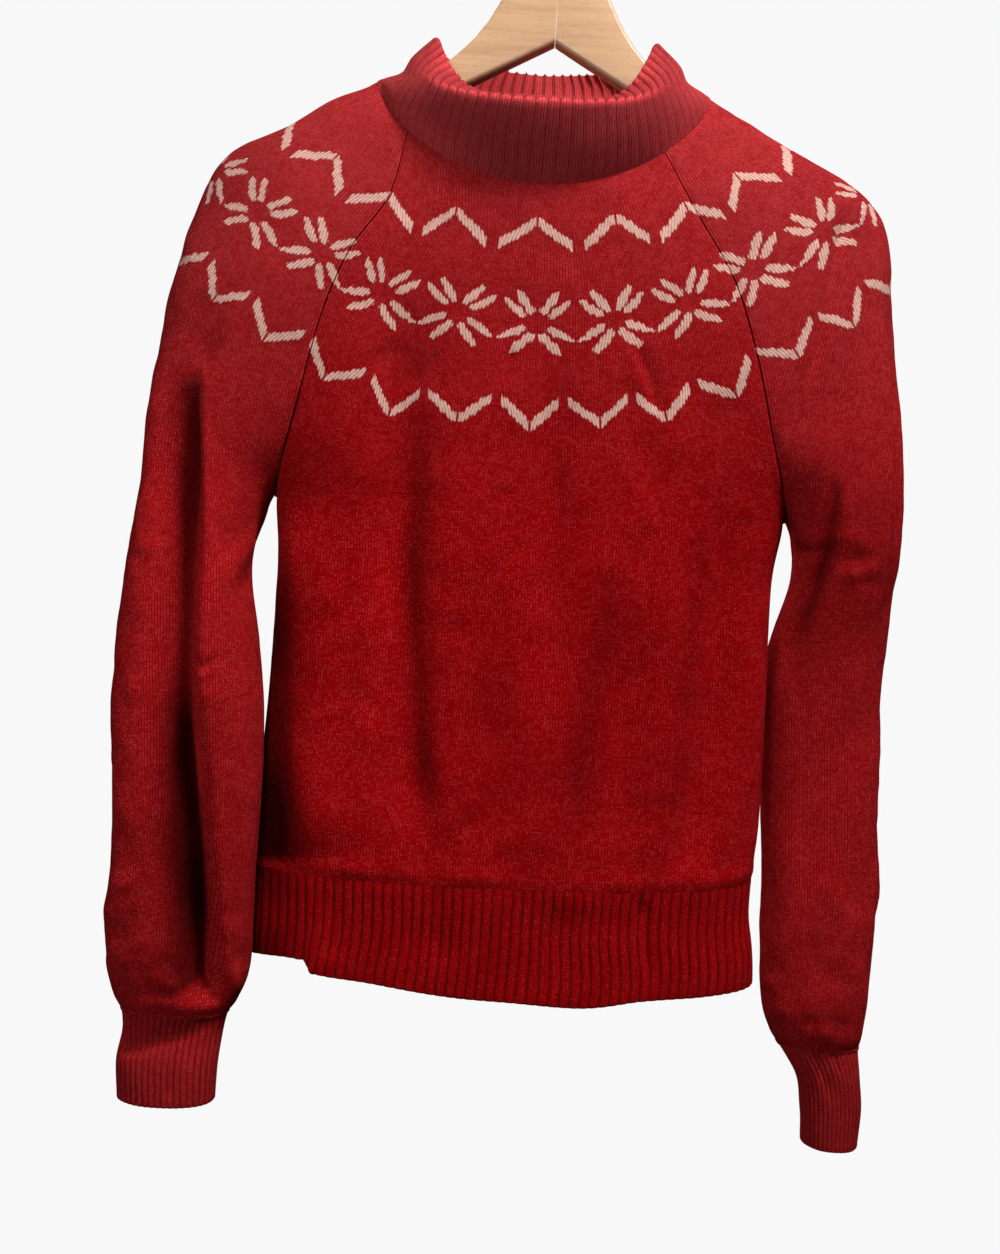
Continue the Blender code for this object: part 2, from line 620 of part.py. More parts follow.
def main():
    for thing in list(bpy.data.objects):
        bpy.data.objects.remove(thing)
    sweater = bpy.data.collections.new("raglan_pullover_on_hanger")
    cutters = bpy.data.collections.new("cutters")
    for made in (sweater, cutters):
        bpy.context.scene.collection.children.link(made)
    make_body_panel("front", -1, sweater)
    make_body_panel("back", 1, sweater)
    make_sleeve("sleeve_left", -1, sweater)
    make_sleeve("sleeve_right", 1, sweater)
    make_ring_piece("collar", collar_points(), COLLAR_WALL, NECK_X, sweater)
    make_ring_piece("hem_rib", hem_points(), RIB_WALL, 0.0, sweater)
    make_ring_piece("cuff_left", cuff_points(-1), RIB_WALL, -SLEEVE_AXIS, sweater)
    make_ring_piece("cuff_right", cuff_points(1), RIB_WALL, SLEEVE_AXIS, sweater)
    arms = [make_arm("hanger_arm_left", -1, sweater), make_arm("hanger_arm_right", 1, sweater)]
    bore_shank_hole(arms, cutters)
    make_hook("hanger_hook", sweater)


main()
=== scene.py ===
"""The visible cloth of a knitted raglan pullover and the wooden hanger that carries it.

Run as a script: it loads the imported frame, builds each piece on its own solid's form and sets up the
stage. Tables and sizes are in millimetres, heights are drops below the hook, and a mesh is in metres.
"""
import math
from collections import namedtuple

import bmesh
import bpy
import numpy as np
from bpy.props import FloatProperty, FloatVectorProperty, IntProperty, PointerProperty
from bpy.types import Operator, Panel, PropertyGroup
from mathutils import Matrix, Vector


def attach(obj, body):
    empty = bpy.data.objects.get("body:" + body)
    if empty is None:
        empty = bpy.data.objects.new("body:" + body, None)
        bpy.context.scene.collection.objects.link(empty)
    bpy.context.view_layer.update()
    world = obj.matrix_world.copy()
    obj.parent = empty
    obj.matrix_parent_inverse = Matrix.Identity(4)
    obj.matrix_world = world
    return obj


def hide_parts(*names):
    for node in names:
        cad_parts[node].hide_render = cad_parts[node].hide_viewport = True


bl_info = {
    "name": "Raglan pullover on a hanger",
    "version": (1, 0, 0),
    "blender": (4, 5, 0),
    "location": "3D View > Sidebar > Pullover",
    "description": "Knits the cloth of a raglan pullover over its packed frame and lights it",
    "category": "Object",
}

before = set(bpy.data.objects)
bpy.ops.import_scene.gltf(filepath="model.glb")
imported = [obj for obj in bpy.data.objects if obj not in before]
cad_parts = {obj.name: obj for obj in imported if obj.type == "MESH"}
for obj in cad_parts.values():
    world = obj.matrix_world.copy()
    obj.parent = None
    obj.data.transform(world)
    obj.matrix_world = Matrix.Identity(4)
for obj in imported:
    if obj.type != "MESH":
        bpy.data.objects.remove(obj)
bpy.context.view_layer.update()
MM = 0.001

# ---------------------------------------------------------------- the solids' forms, in their own sizes

WALL, COLLAR_WALL, RIB_WALL = 2.4, 3.0, 2.6
SEAM_GAP = 0.3
UNDERARM_DROP, UNDERARM_X = 416.0, 167.0
PANEL_POWER, SLEEVE_POWER = 2.8, 2.3
SIDE_TRIM, NECK_TRIM, CAP_SIDE_TRIM, CAP_NECK_TRIM = 0.0009, 0.0015, 0.0017, 0.0012
NECK_X, NECK_HALF_WIDTH = -5.4, 108.0
NECK_FRONT_DEPTH, NECK_BACK_DEPTH = 42.0, 30.0
NECK_SIDE_DROP, NECK_FRONT_DIP, NECK_BACK_DIP = 142.6, 74.4, 18.0
NECK_DIP_POWER = 1.3
FRONT_RAGLAN_LEFT, FRONT_RAGLAN_RIGHT, BACK_RAGLAN = -51.6, 45.8, 130.0

Raglan = namedtuple("Raglan", "share left_x left_drop right_x right_drop y")
FRONT_RAGLAN = [
    Raglan(0.2, 99, 228, 95, 231, -36),
    Raglan(0.4, 121, 264, 118, 270, -40),
    Raglan(0.6, 137, 307, 134, 314, -40),
    Raglan(0.8, 150, 360, 148, 364, -34),
    Raglan(0.92, 160, 395, 159, 396, -21),
]
BACK_RAGLANS = [
    Raglan(0.2, 92, 200, 90, 200, 27),
    Raglan(0.4, 113, 250, 112, 250, 31),
    Raglan(0.6, 131, 302, 130, 302, 31),
    Raglan(0.8, 147, 358, 146, 358, 27),
    Raglan(0.92, 159, 394, 158, 394, 17),
]
Ridge = namedtuple("Ridge", "share left_x left_drop right_x right_drop front back")
RIDGE = [
    Ridge(0.0, 113.4, 142.6, 102.6, 142.6, 28, 20),
    Ridge(0.1, 142.0, 157.2, 131.5, 159.4, 33, 25),
    Ridge(0.2, 171.0, 176.4, 161.0, 176.2, 37, 29),
    Ridge(0.3, 202.5, 192.0, 191.5, 192.4, 39, 31),
    Ridge(0.35, 214.0, 203.5, 207.5, 202.5, 40, 31),
    Ridge(0.4, 221.5, 219.5, 217.5, 216.5, 40, 32),
    Ridge(0.6, 239.0, 283.5, 227.0, 281.0, 40, 32),
    Ridge(0.8, 249.0, 349.0, 238.0, 349.0, 36, 29),
    Ridge(1.0, 254.5, 416.0, 241.7, 416.0, 30, 26),
]
Body = namedtuple("Body", "drop left right front back")
BODY = [
    Body(416, 167.0, 167.0, 39, 31),
    Body(440, 162.2, 159.8, 40, 31),
    Body(500, 162.0, 158.2, 41, 32),
    Body(560, 164.0, 158.8, 41, 33),
    Body(610, 166.7, 157.8, 42, 34),
    Body(650, 167.5, 154.7, 41, 34),
    Body(675, 167.5, 154.2, 40, 33),
    Body(700, 167.5, 158.6, 41, 34),
    Body(726, 166.5, 157.5, 42, 35),
]
RIB_TOP_LEFT, RIB_TOP_RIGHT, RIB_TOP_DIP = 650.0, 645.0, 8.0
Hem = namedtuple("Hem", "across front back")
HEM = [
    Hem(0.0, 709.5, 710.0),
    Hem(0.15, 706.5, 711.0),
    Hem(0.25, 706.5, 712.0),
    Hem(0.264, 707.0, 712.0),
    Hem(0.278, 714.0, 712.0),
    Hem(0.29, 714.6, 712.0),
    Hem(0.37, 717.0, 713.0),
    Hem(0.5, 724.0, 714.0),
    Hem(0.56, 725.5, 714.0),
    Hem(0.64, 720.0, 714.0),
    Hem(0.75, 717.0, 713.5),
    Hem(1.0, 712.0, 712.0),
]
Sleeve = namedtuple("Sleeve", "drop inner outer middle front back")
SLEEVE_LEFT = [
    Sleeve(416, 167.6, 254.5, -1, 30, 26),
    Sleeve(430, 173.0, 256.5, -3, 31, 25),
    Sleeve(458, 178.0, 258.5, -7, 32, 25),
    Sleeve(500, 170.5, 260.0, -16, 32, 23),
    Sleeve(540, 163.5, 259.0, -22, 31, 22),
    Sleeve(600, 160.5, 255.0, -27, 31, 21),
    Sleeve(650, 161.5, 252.6, -28, 31, 21),
    Sleeve(695, 161.2, 252.0, -28, 31, 21),
    Sleeve(716, 161.5, 250.5, -27, 31, 21),
    Sleeve(732, 166.5, 246.5, -26, 28, 20),
    Sleeve(743, 174.0, 241.5, -25, 22.4, 17.4),
]
SLEEVE_RIGHT = [
    Sleeve(416, 167.6, 241.7, 2, 30, 26),
    Sleeve(430, 174.5, 241.2, 5, 30, 27),
    Sleeve(458, 172.5, 239.8, 10, 29, 28),
    Sleeve(500, 161.8, 239.3, 17, 27, 29),
    Sleeve(550, 160.0, 240.0, 20, 26, 30),
    Sleeve(600, 164.0, 240.5, 20, 27, 30),
    Sleeve(660, 167.0, 243.5, 19, 29, 30),
    Sleeve(700, 168.0, 240.5, 18, 29, 29),
    Sleeve(728, 169.8, 238.5, 17, 28, 28),
    Sleeve(744, 173.0, 236.5, 16, 25, 25),
    Sleeve(757, 181.8, 234.8, 16, 18.4, 18.4),
]
CUFF_LEFT = [
    Sleeve(743, 174.5, 241.0, -25, 22, 17),
    Sleeve(754, 177.5, 240.0, -24, 19, 17),
    Sleeve(775, 179.5, 242.0, -26, 20, 17),
    Sleeve(799, 180.5, 240.5, -25, 21, 18),
]
CUFF_RIGHT = [
    Sleeve(757, 182.0, 234.5, 16, 18, 18),
    Sleeve(775, 194.5, 236.0, 15, 17, 17),
    Sleeve(800, 199.5, 238.0, 15, 17, 17),
    Sleeve(821, 201.5, 236.5, 15, 18, 18),
]
CollarRing = namedtuple("CollarRing", "x half_width front back left_drop right_drop front_drop back_drop "
                        "peaked")
COLLAR = [
    CollarRing(-5.4, 108.0, 42, 30, 142.6, 142.6, 217.0, 160.6, 0.0),
    CollarRing(-5.6, 103.0, 54, 37, 140.5, 139.5, 197.0, 147.0, 0.1),
    CollarRing(-5.4, 91.8, 62, 47, 136.5, 133.5, 176.5, 131.0, 0.3),
    CollarRing(-5.2, 86.2, 57, 54, 128.5, 125.0, 170.5, 122.5, 0.6),
    CollarRing(-5.5, 74.0, 45, 62, 117.0, 113.6, 166.0, 113.5, 1.0),
]
SHOULDER_START, SHOULDER_END = 0.15, 1.0
Edge = namedtuple("Edge", "x drop")
ARM_TOP = [
    Edge(0, 64.0), Edge(16, 65.5), Edge(26, 71.0), Edge(33, 81.0), Edge(39, 93.0), Edge(44.5, 103.0),
    Edge(52, 113.4), Edge(60.5, 122.6), Edge(72, 133.4), Edge(92, 147.3), Edge(125, 161.3),
    Edge(160, 178.9), Edge(187, 193.7), Edge(195, 200.7),
]
ARM_BOTTOM = [Edge(197, 209.0), Edge(193, 215.0), Edge(184, 217.0), Edge(48.7, 141.2), Edge(0, 113.9)]
ARM_THICKNESS, JOINT_GAP = 12.5, 0.3
HANGER_TILT, HOOK_OFFSET = 0.88, 1.8
HOOK_WIRE, HOOK_RADIUS, HOOK_STEM = 3.8, 20.0, 8.0
HOOK_START, HOOK_SWEEP, HOOK_STEPS = -62.0, 235.0, 40

# The long folds that the solids have
Fold = namedtuple("Fold", "x_top top x_bottom bottom width depth")
FRONT_FOLDS = [
    Fold(-86, 350, -71, 598, 15, 6),
    Fold(9, 380, 17, 500, 15, 5),
    Fold(118, 460, 114, 598, 14, 6),
    Fold(-30, 520, -22, 598, 20, 3),
    Fold(60, 520, 66, 598, 20, 4),
]
BACK_FOLDS = [
    Fold(80, 380, 66, 598, 18, 6),
    Fold(-25, 430, -30, 598, 18, 5),
    Fold(-112, 450, -108, 598, 16, 6),
]
FOLD_HEAD, FOLD_FOOT = 70.0, 50.0     # mm over which a fold fades beyond its top and its bottom
PANEL_FADE = 20.0

# ---------------------------------------------------------------- creases, each laid one by one
# A path runs from its first point to its last in x and drop; left and right are the widths of its two
# flanks as seen when going down it, and a depth above 0 sinks, below 0 rises. It fades in over its head
# and out over its tail, as shares of its length; crisp 2 is a soft trough and 1 a sharp line.
Crease = namedtuple("Crease", "path left right depth head tail crisp", defaults=(0.28, 0.28, 2.0))
# Painted shade: where the yarn's colour is darkened to stand in for shade, in a crease, in the shadow of
# another piece, over the shoulders and down the sleeves: depth is then a share.
FRONT_SHADES = [
    Crease([(-74, 398), (-74, 442), (-71, 479), (-66, 522), (-60, 566), (-52, 603), (-40, 644)],
           9, 7, 0.36, 0.25, 0.35, 1.8),
    Crease([(51, 435), (49, 479), (47, 523), (43, 560), (40, 598), (37, 644)], 13, 11, 0.26, 0.25, 0.2, 1.8),
    Crease([(100, 408), (106, 445), (107, 482), (102, 532), (99, 576), (93, 620)], 8, 6, 0.16, 0.3, 0.2, 1.8),
    Crease([(-168, 440), (-166, 480), (-164, 546), (-161, 603), (-158, 652)], 20, 29, 0.84, 0.4, 0.04, 3.0),
]
LEFT_SHADES = [
    Crease([(-212, 335), (-215, 365), (-212, 423), (-209, 487), (-206, 543), (-198, 600), (-191, 640)],
           15, 2.4, 0.6, 0.14, 0.3, 2.4),
    Crease([(-207, 520), (-202, 570), (-197, 610), (-189, 650), (-183, 690), (-183, 734)],
           25, 3.2, 0.78, 0.35, 0.05, 4.0),
    Crease([(-150, 168), (-200, 196), (-226, 238)], 30, 30, 0.14),
    Crease([(-236, 600), (-230, 660), (-216, 724)], 24, 26, 0.2, 0.4, 0.05),
    Crease([(-186, 540), (-180, 610), (-172, 660), (-168, 720)], 12, 12, 0.18),
]
RIGHT_SHADES = [
    Crease([(187, 381), (191, 403), (190, 426), (186, 455), (181, 475), (176, 498)],
           4, 5, 0.5, 0.15, 0.25, 1.8),
    Crease([(171, 492), (171, 530), (175, 582), (182, 627)], 14, 9, 0.2, 0.2, 0.3, 1.8),
    Crease([(140, 168), (190, 196), (216, 238)], 30, 30, 0.13),
]
HEM_SHADES = [Crease([(-160, 645), (-158, 680), (-156, 712)], 20, 26, 0.5, 0.0, 0.0, 2.5)]
YOKE_CREASES = [
    Crease([(-103, 339), (-95, 328), (-87, 319)], 5, 6, 1.4),
    Crease([(-76, 345), (-69, 335), (-61, 326)], 3, 4, 1.3),
    Crease([(-25, 343), (-19, 331), (-16, 317)], 4, 4, 1.6),
    Crease([(58, 310), (66, 327), (73, 346), (80, 358)], 3.5, 5, 2.0),
    Crease([(50, 311), (59, 328), (66, 345)], 5, 5, -1.0),
    Crease([(34, 320), (36, 332), (37, 344)], 3, 4, 1.2),
]
FRONT_CREASES = [
    Crease([(-76, 363), (-79, 405), (-80, 455), (-73, 504), (-68, 547), (-66, 584), (-58, 615), (-49, 644)],
           11, 15, 4.8, 0.2, 0.3, 1.7),
    Crease([(-86, 362), (-72, 380), (-66, 404)], 12, 14, 0.9),
    Crease([(7, 366), (10, 394), (13, 419), (20, 442)], 9, 9, 1.1),
    Crease([(64, 453), (57, 485), (50, 522), (47, 557), (40, 582), (38, 616), (34, 650)],
           12, 26, 4.0, 0.45, 0.25, 1.5),
    Crease([(95, 427), (99, 452), (101, 479), (101, 507), (100, 526)], 4, 6, 1.3, 0.3, 0.3, 1.6),
    Crease([(121, 469), (128, 494), (130, 521), (125, 553), (117, 572), (111, 594), (107, 625), (102, 646)],
           10, 12, 3.0, 0.25, 0.15),
    Crease([(-150, 420), (-146, 457), (-144, 495), (-141, 546), (-137, 583), (-131, 621), (-127, 650)],
           10, 34, -6.5, 0.3, 0.22, 1.5),
    Crease([(64, 363), (73, 391), (82, 409)], 8, 10, 1.4),
    Crease([(68, 412), (62, 428), (57, 445)], 3.5, 4.5, -1.2),
    Crease([(68, 412), (74, 419), (79, 430)], 3.5, 3.5, -1.0),
    Crease([(68, 423), (67, 441), (71, 459)], 7, 7, 0.9),
    Crease([(94, 359), (83, 383), (70, 408)], 4, 5, -0.9),
    Crease([(106, 408), (109, 436), (116, 452), (124, 469)], 4, 6, -1.2),
    Crease([(132, 444), (138, 481), (136, 524), (130, 568)], 8, 10, -1.6),
    Crease([(-107, 544), (-94, 559), (-93, 580), (-101, 602), (-119, 634)], 7, 5, -1.4),
    Crease([(-131, 564), (-118, 552), (-107, 544)], 5, 5, -1.0),
    Crease([(-117, 571), (-111, 593), (-115, 615)], 10, 10, 1.2),
    Crease([(-127, 482), (-123, 507), (-113, 525)], 9, 9, 0.8),
    Crease([(-39, 420), (-26, 407), (-11, 398)], 4, 4, -0.7),
    Crease([(-35, 430), (-20, 414), (-5, 405)], 4, 4, 0.6),
    Crease([(-34, 456), (-18, 442), (0, 428)], 4, 4, -0.6),
    Crease([(-29, 467), (-12, 451), (5, 438)], 5, 4, 0.7),
    Crease([(-17, 475), (-2, 462), (12, 448)], 4, 4, -0.6),
    Crease([(-13, 516), (-3, 500), (7, 485)], 4, 4, -0.6),
    Crease([(-47, 503), (-43, 498), (-34, 496)], 8, 8, 0.9),
    Crease([(-45, 623), (-33, 609), (-22, 592)], 6, 5, -1.1),
    Crease([(-32, 626), (-24, 610), (-17, 587)], 7, 7, 1.0),
    Crease([(-27, 639), (-9, 629), (4, 625)], 5, 5, -0.6),
    Crease([(64, 596), (89, 590), (114, 594)], 7, 7, -0.7),
    Crease([(70, 614), (92, 602), (108, 603)], 6, 6, 0.6),
    Crease([(56, 528), (72, 503), (84, 483)], 5, 6, -0.8),
    Crease([(49, 547), (61, 528), (81, 505)], 7, 7, 0.6),
    Crease([(-106, 400), (-97, 418), (-98, 443)], 12, 10, 0.8),
    Crease([(-121, 425), (-109, 410), (-100, 400)], 6, 6, -0.7),
    Crease([(-132, 495), (-122, 482), (-109, 472)], 6, 6, -0.6),
]
BACK_CREASES = [
    Crease([(84, 352), (80, 410), (76, 470), (72, 540), (66, 600), (60, 644)], 12, 5, 5.5),
    Crease([(-22, 400), (-26, 450), (-30, 520), (-34, 600), (-30, 642)], 6, 16, 4.0),
    Crease([(-116, 430), (-112, 480), (-108, 540), (-104, 610)], 8, 10, 4.0),
    Crease([(20, 300), (24, 350), (22, 392)], 6, 7, 2.0),
    Crease([(118, 470), (122, 520), (116, 580), (108, 630)], 7, 9, 3.6),
    Crease([(-70, 330), (-58, 372), (-54, 410)], 6, 6, 1.8),
    Crease([(-60, 540), (-74, 575), (-90, 596)], 5, 6, -2.0),
    Crease([(30, 470), (44, 452), (58, 440)], 4, 5, -1.4),
    Crease([(22, 500), (38, 480), (54, 470)], 5, 4, 1.2),
    Crease([(-6, 560), (8, 590), (28, 612)], 6, 6, -1.6),
    Crease([(96, 380), (108, 410), (126, 428)], 5, 6, 1.8),
    Crease([(-96, 372), (-112, 402), (-128, 424)], 6, 5, 1.8),
]
LEFT_CREASES = [
    Crease([(-212, 330), (-215, 365), (-213, 400), (-211, 440), (-209, 487), (-207, 522), (-205, 560),
            (-199, 600), (-191, 640), (-183, 683), (-179, 717), (-177, 736)], 15, 4.4, 14, 0.2, 0.05, 2.0),
    Crease([(-204, 510), (-200, 547), (-195, 578), (-190, 610), (-186, 645), (-182, 682), (-179, 712),
            (-176, 734)], 34, 5.0, 9, 0.35, 0.1, 2.0),
    Crease([(-204, 360), (-203, 400), (-201, 437), (-198, 480), (-194, 522), (-189, 565), (-183, 610)],
           7, 16, -7.0, 0.35, 0.35),
    Crease([(-163, 428), (-172, 441), (-183, 458), (-189, 472), (-191, 490)], 6, 7, -2.6),
    Crease([(-160, 440), (-167, 452), (-176, 468), (-182, 486)], 7, 6, 2.0),
    Crease([(-200, 529), (-193, 526), (-185, 521)], 2.5, 4, 2.4, 0.2, 0.4, 1.4),
    Crease([(-199, 545), (-190, 546), (-181, 541)], 5, 5, -1.2),
    Crease([(-188, 420), (-186, 440), (-187, 466)], 6, 5, 1.2),
    Crease([(-200, 430), (-194, 447), (-190, 462)], 3, 4, 1.3),
    Crease([(-166, 520), (-163, 560), (-164, 610)], 5, 8, 1.2),
    Crease([(-248, 690), (-244, 672), (-236, 661), (-224, 650)], 4, 8, -2.6, 0.2, 0.4, 1.5),
    Crease([(-242, 704), (-236, 688), (-226, 676)], 6, 6, 1.6),
    Crease([(-235, 716), (-229, 702), (-218, 690)], 5, 5, -1.4),
    Crease([(-222, 728), (-214, 714), (-204, 704)], 5, 5, 1.6),
    Crease([(-206, 732), (-202, 720), (-196, 706)], 5, 4, -1.4),
    Crease([(-232, 733), (-215, 729), (-196, 730), (-180, 724)], 3, 5, 1.6),
    Crease([(-176, 690), (-168, 702), (-165, 716)], 4, 5, 1.6),
    Crease([(-180, 672), (-172, 676), (-163, 684)], 4, 5, 1.2),
    Crease([(-250, 457), (-239, 454), (-228, 458)], 4, 4, -0.9),
    Crease([(-241, 439), (-232, 445), (-222, 443)], 5, 5, 0.8),
    Crease([(-247, 550), (-237, 543), (-227, 545)], 7, 7, -0.9),
    Crease([(-227, 322), (-227, 365), (-234, 414)], 9, 9, 1.0),
    Crease([(-206, 290), (-209, 320), (-211, 350)], 12, 8, 2.2),
]
LEFT_BACK_CREASES = [
    Crease([(-196, 330), (-204, 400), (-210, 470), (-208, 560), (-202, 660), (-206, 742)], 14, 6, 6.0),
    Crease([(-166, 420), (-182, 440), (-196, 470)], 6, 6, -2.4),
    Crease([(-238, 470), (-230, 500), (-234, 540)], 7, 7, 1.8),
    Crease([(-180, 520), (-190, 545), (-186, 580)], 5, 6, 1.6),
    Crease([(-236, 660), (-224, 690), (-226, 724)], 5, 5, -1.8),
    Crease([(-190, 680), (-182, 700), (-186, 728)], 5, 5, 1.6),
]
RIGHT_CREASES = [
    Crease([(189, 214), (186, 236), (183, 252), (179, 276), (175, 300), (170, 325), (166, 346)],
           4, 3, 4.5, 0.2, 0.3, 1.4),
    Crease([(168, 312), (163, 333), (161, 352), (162, 368)], 10, 7, 0.8),
    Crease([(186, 300), (186, 330), (187, 360), (188, 392), (190, 420)], 9, 16, 0.7),
    Crease([(174, 352), (180, 370), (184, 388), (187, 406), (187, 420)], 6, 8, -0.8),
    Crease([(187, 421), (181, 427), (172, 425), (165, 419)], 5, 5, -1.0, 0.2, 0.2),
    Crease([(189, 430), (182, 436), (174, 434), (168, 430)], 4, 3, 3.2, 0.2, 0.2),
    Crease([(191, 424), (189, 441), (184, 458), (179, 474), (174, 491), (171, 508), (170, 524)],
           3, 6, 5.0, 0.12, 0.35, 1.5),
    Crease([(180, 474), (180, 500), (182, 531), (185, 568), (187, 607), (188, 640), (188, 668)],
           8, 17, 2.6, 0.25, 0.3, 1.8),
    Crease([(217, 262), (223, 299), (228, 336), (230, 373), (231, 411), (231, 445), (231, 476), (232, 520),
            (233, 552)], 2.6, 4.5, 4.0, 0.12, 0.3, 1.5),
    Crease([(212, 270), (218, 305), (223, 340), (225, 380), (226, 430), (226, 490)], 7, 4, -1.6),
    Crease([(196, 444), (206, 438), (220, 434)], 3.5, 3.5, 0.7),
    Crease([(197, 452), (210, 447), (223, 444)], 4, 4, -0.9),
    Crease([(206, 432), (214, 448), (222, 458)], 4, 4, 0.5),
    Crease([(190, 431), (203, 426), (217, 427)], 6, 6, -0.8),
    Crease([(199, 639), (211, 660), (225, 684)], 7, 8, -1.4),
    Crease([(169, 707), (175, 724), (181, 741)], 6, 6, -1.6),
    Crease([(190, 677), (202, 699), (213, 721)], 10, 10, 1.6),
    Crease([(221, 694), (228, 710), (226, 728)], 6, 6, -1.2),
    Crease([(190, 742), (202, 736), (216, 738), (228, 744)], 4, 5, 1.0),
    Crease([(200, 728), (206, 742), (210, 752)], 4, 4, -1.0),
]
RIGHT_BACK_CREASES = [
    Crease([(196, 300), (204, 380), (206, 460), (202, 560), (206, 680), (208, 750)], 6, 15, 6.0),
    Crease([(168, 420), (182, 446), (192, 480)], 6, 6, -2.2),
    Crease([(226, 430), (220, 470), (224, 520)], 6, 7, 1.8),
    Crease([(182, 560), (190, 600), (186, 650)], 6, 6, 1.8),
    Crease([(226, 640), (218, 680), (222, 720)], 5, 6, -1.6),
]
# On a sleeve's outer side a path is in y and drop
LEFT_SIDE_CREASES = [
    Crease([(0, 300), (-4, 380), (-14, 460), (-26, 540), (-34, 640), (-32, 725)], 9, 7, 3.0),
    Crease([(14, 420), (4, 450), (-10, 470)], 5, 6, 1.8),
    Crease([(-36, 560), (-24, 590), (-8, 606)], 5, 5, -1.6),
    Crease([(-18, 660), (-30, 690), (-40, 716)], 5, 5, 1.6),
]
RIGHT_SIDE_CREASES = [
    Crease([(-4, 290), (2, 380), (12, 460), (20, 560), (22, 660), (18, 745)], 7, 10, 3.4),
    Crease([(-14, 400), (0, 430), (16, 446)], 6, 5, 1.8),
    Crease([(36, 540), (24, 570), (10, 590)], 5, 5, -1.6),
    Crease([(4, 650), (14, 690), (30, 720)], 5, 6, 1.6),
]

# ---------------------------------------------------------------- motif rings round the yoke
# A ring is seen from the front as a curve round its own centre, and goes on over the shoulders to the
# back. Its places are the motifs that face the front: degrees round from straight below the centre,
# and how far out each lies.
Place = namedtuple("Place", "degrees radius")
MotifRing = namedtuple("MotifRing", "x drop places")
MOTIF_RINGS = {
    "zigzag_upper": MotifRing(-8.7, 18.2, [
        Place(-34.0, 220), Place(-23.1, 225), Place(-12.4, 220), Place(0.8, 219.6), Place(13.3, 220),
        Place(24.7, 224), Place(34.3, 220.6)]),
    "stars": MotifRing(-7.4, 34.3, [
        Place(-40.0, 269.6), Place(-29.2, 266.5), Place(-19.9, 271), Place(-9.6, 268), Place(1.0, 269),
        Place(11.3, 269), Place(21.3, 269.5), Place(30.8, 266.2), Place(42.2, 270)]),
    "zigzag_lower": MotifRing(-8.7, 68.1, [
        Place(-40.7, 304.3), Place(-32.7, 303), Place(-24.3, 304.7), Place(-15.7, 308.7), Place(-7.7, 302.6),
        Place(0.9, 302), Place(9.3, 302.3), Place(17.1, 306), Place(25.8, 305.7), Place(34.4, 301),
        Place(42.2, 306)]),
}
RING_REACH, RING_MARGIN = 60.0, 40    # mm off a ring, and points beyond a piece, that are looked at

# ---------------------------------------------------------------- grids, seams and the studio
PANEL_COLUMNS, YOKE_ROWS, BODY_ROWS = 200, 88, 98
SLEEVE_COLUMNS, CAP_ROWS, TUBE_ROWS = 150, 110, 145
COLLAR_ROWS, HEM_ROWS, CUFF_ROWS = 26, 24, 22
FINE_STEPS, EVEN_DROP = 4000, 520.0   # of the body ring whose length is measured, and its drop
RING_STEPS, COLLAR_STEPS, CUFF_STEPS = 1200, 960, 800     # of the fine rings that grids are read from
STEPS_A_RIB, COLLAR_STEPS_A_RIB, ROUND_EDGE_STEPS = 8, 10, 5
PANEL_PASSES, SLEEVE_PASSES, HEM_PASSES = 60, 24, 2       # how often a grid's rows are eased
SEAM_CALM, UNDERARM_ROWS = 10.0, 12   # mm beside a seam, and rows above an underarm, that settle less
CREASE_STEP, CREASE_REACH = 1.5, 2.6  # mm between the followed places of a path, and its reach in flanks
CREASE_UNEVEN = (0.22, 9.0, 2.1)      # share by which a crease's depth varies, how fast, and its start
CREASE_RIM = (0.12, 1.9, 0.8)         # its raised rim: share of its depth, then place and width in flanks
NO_SEAM = 100.0                       # mm, a distance at which a seam has no effect
EDGE_STEP, EDGE_ZONE = 0.3, 0.04      # grid columns lie closer over this share of a width at its seams
# mm that the outer face turns in at a seam and at a foot, and the mm over which it does
SEAM_TURN, FOOT_TURN, SEAM_SOFTNESS, FOOT_SOFTNESS, RIB_SOFTNESS = 0.45, 0.15, 1.3, 1.0, 4.0
DEEPEST_TURN = 0.7                    # share of the wall that an edge turns in at most
NECK_FADE, FOOT_FADE = 8, 7           # mm over which creases start below a neck seam and end above a rib
# What lies on one side of a piece fades in as the cloth's outward normal turns to that side, between
# these cosines: plain knit, a sleeve's outer side, ribs, the collar's shade, and the collar's sides
PLAIN_SEEN, OUTER_SEEN, RIB_SEEN, SHADE_SEEN = (-0.25, 0.3), (0.3, 0.8), (-0.2, 0.4), (0.7, 0.86)
SINK_SEEN = (0.5, 0.95)
BULGE_PLACE, BULGE_WIDTH = 6.0, 5.5   # mm above a rib at which the cloth stands out, and how wide
LUMPS = ((34.0, 0.9), (15.0, 0.45), (7.0, 0.16))    # plain knit's soft lumps: size and height in mm
# How ribs vary: a seed, each lump's mm down the cloth, its height and its ribs round, and the fewest lumps
Uneven = namedtuple("Uneven", "seed size height ribs fewest")
RIB_LUMPS, RIB_LEAN = Uneven(31, 18.0, 0.55, 4, 6), Uneven(37, 30.0, 0.22, 6, 5)
RIB_RELIEF, RELIEF_START = Uneven(41, 12.0, 0.18, 2, 1), (-3.0, 4.0)
DEEPEST_SHADE = 0.9
SEAM_PITCH, SEAM_STAND, SEAM_THICKNESS, SEAM_SPREAD = 2.4, 0.5, 0.9, 0.55
SEAM_LEAN, SEAM_OVERLAP = 0.42, 1.25  # how far a chain's stitches lean, and their length in pitches
RIB_WALES, CUFF_CHAIN_STEPS = 4, 240
SHARP_ANGLE, ARM_SHARP_ANGLE, WIRE_SHARP_ANGLE = 62.0, 32.0, 50.0
ARM_ROUNDING, ARM_SLOPE = 3.0, math.radians(34.5)
COLLAR_ROLL = 1.0                     # the lip's wall grows by this share to a soft roll
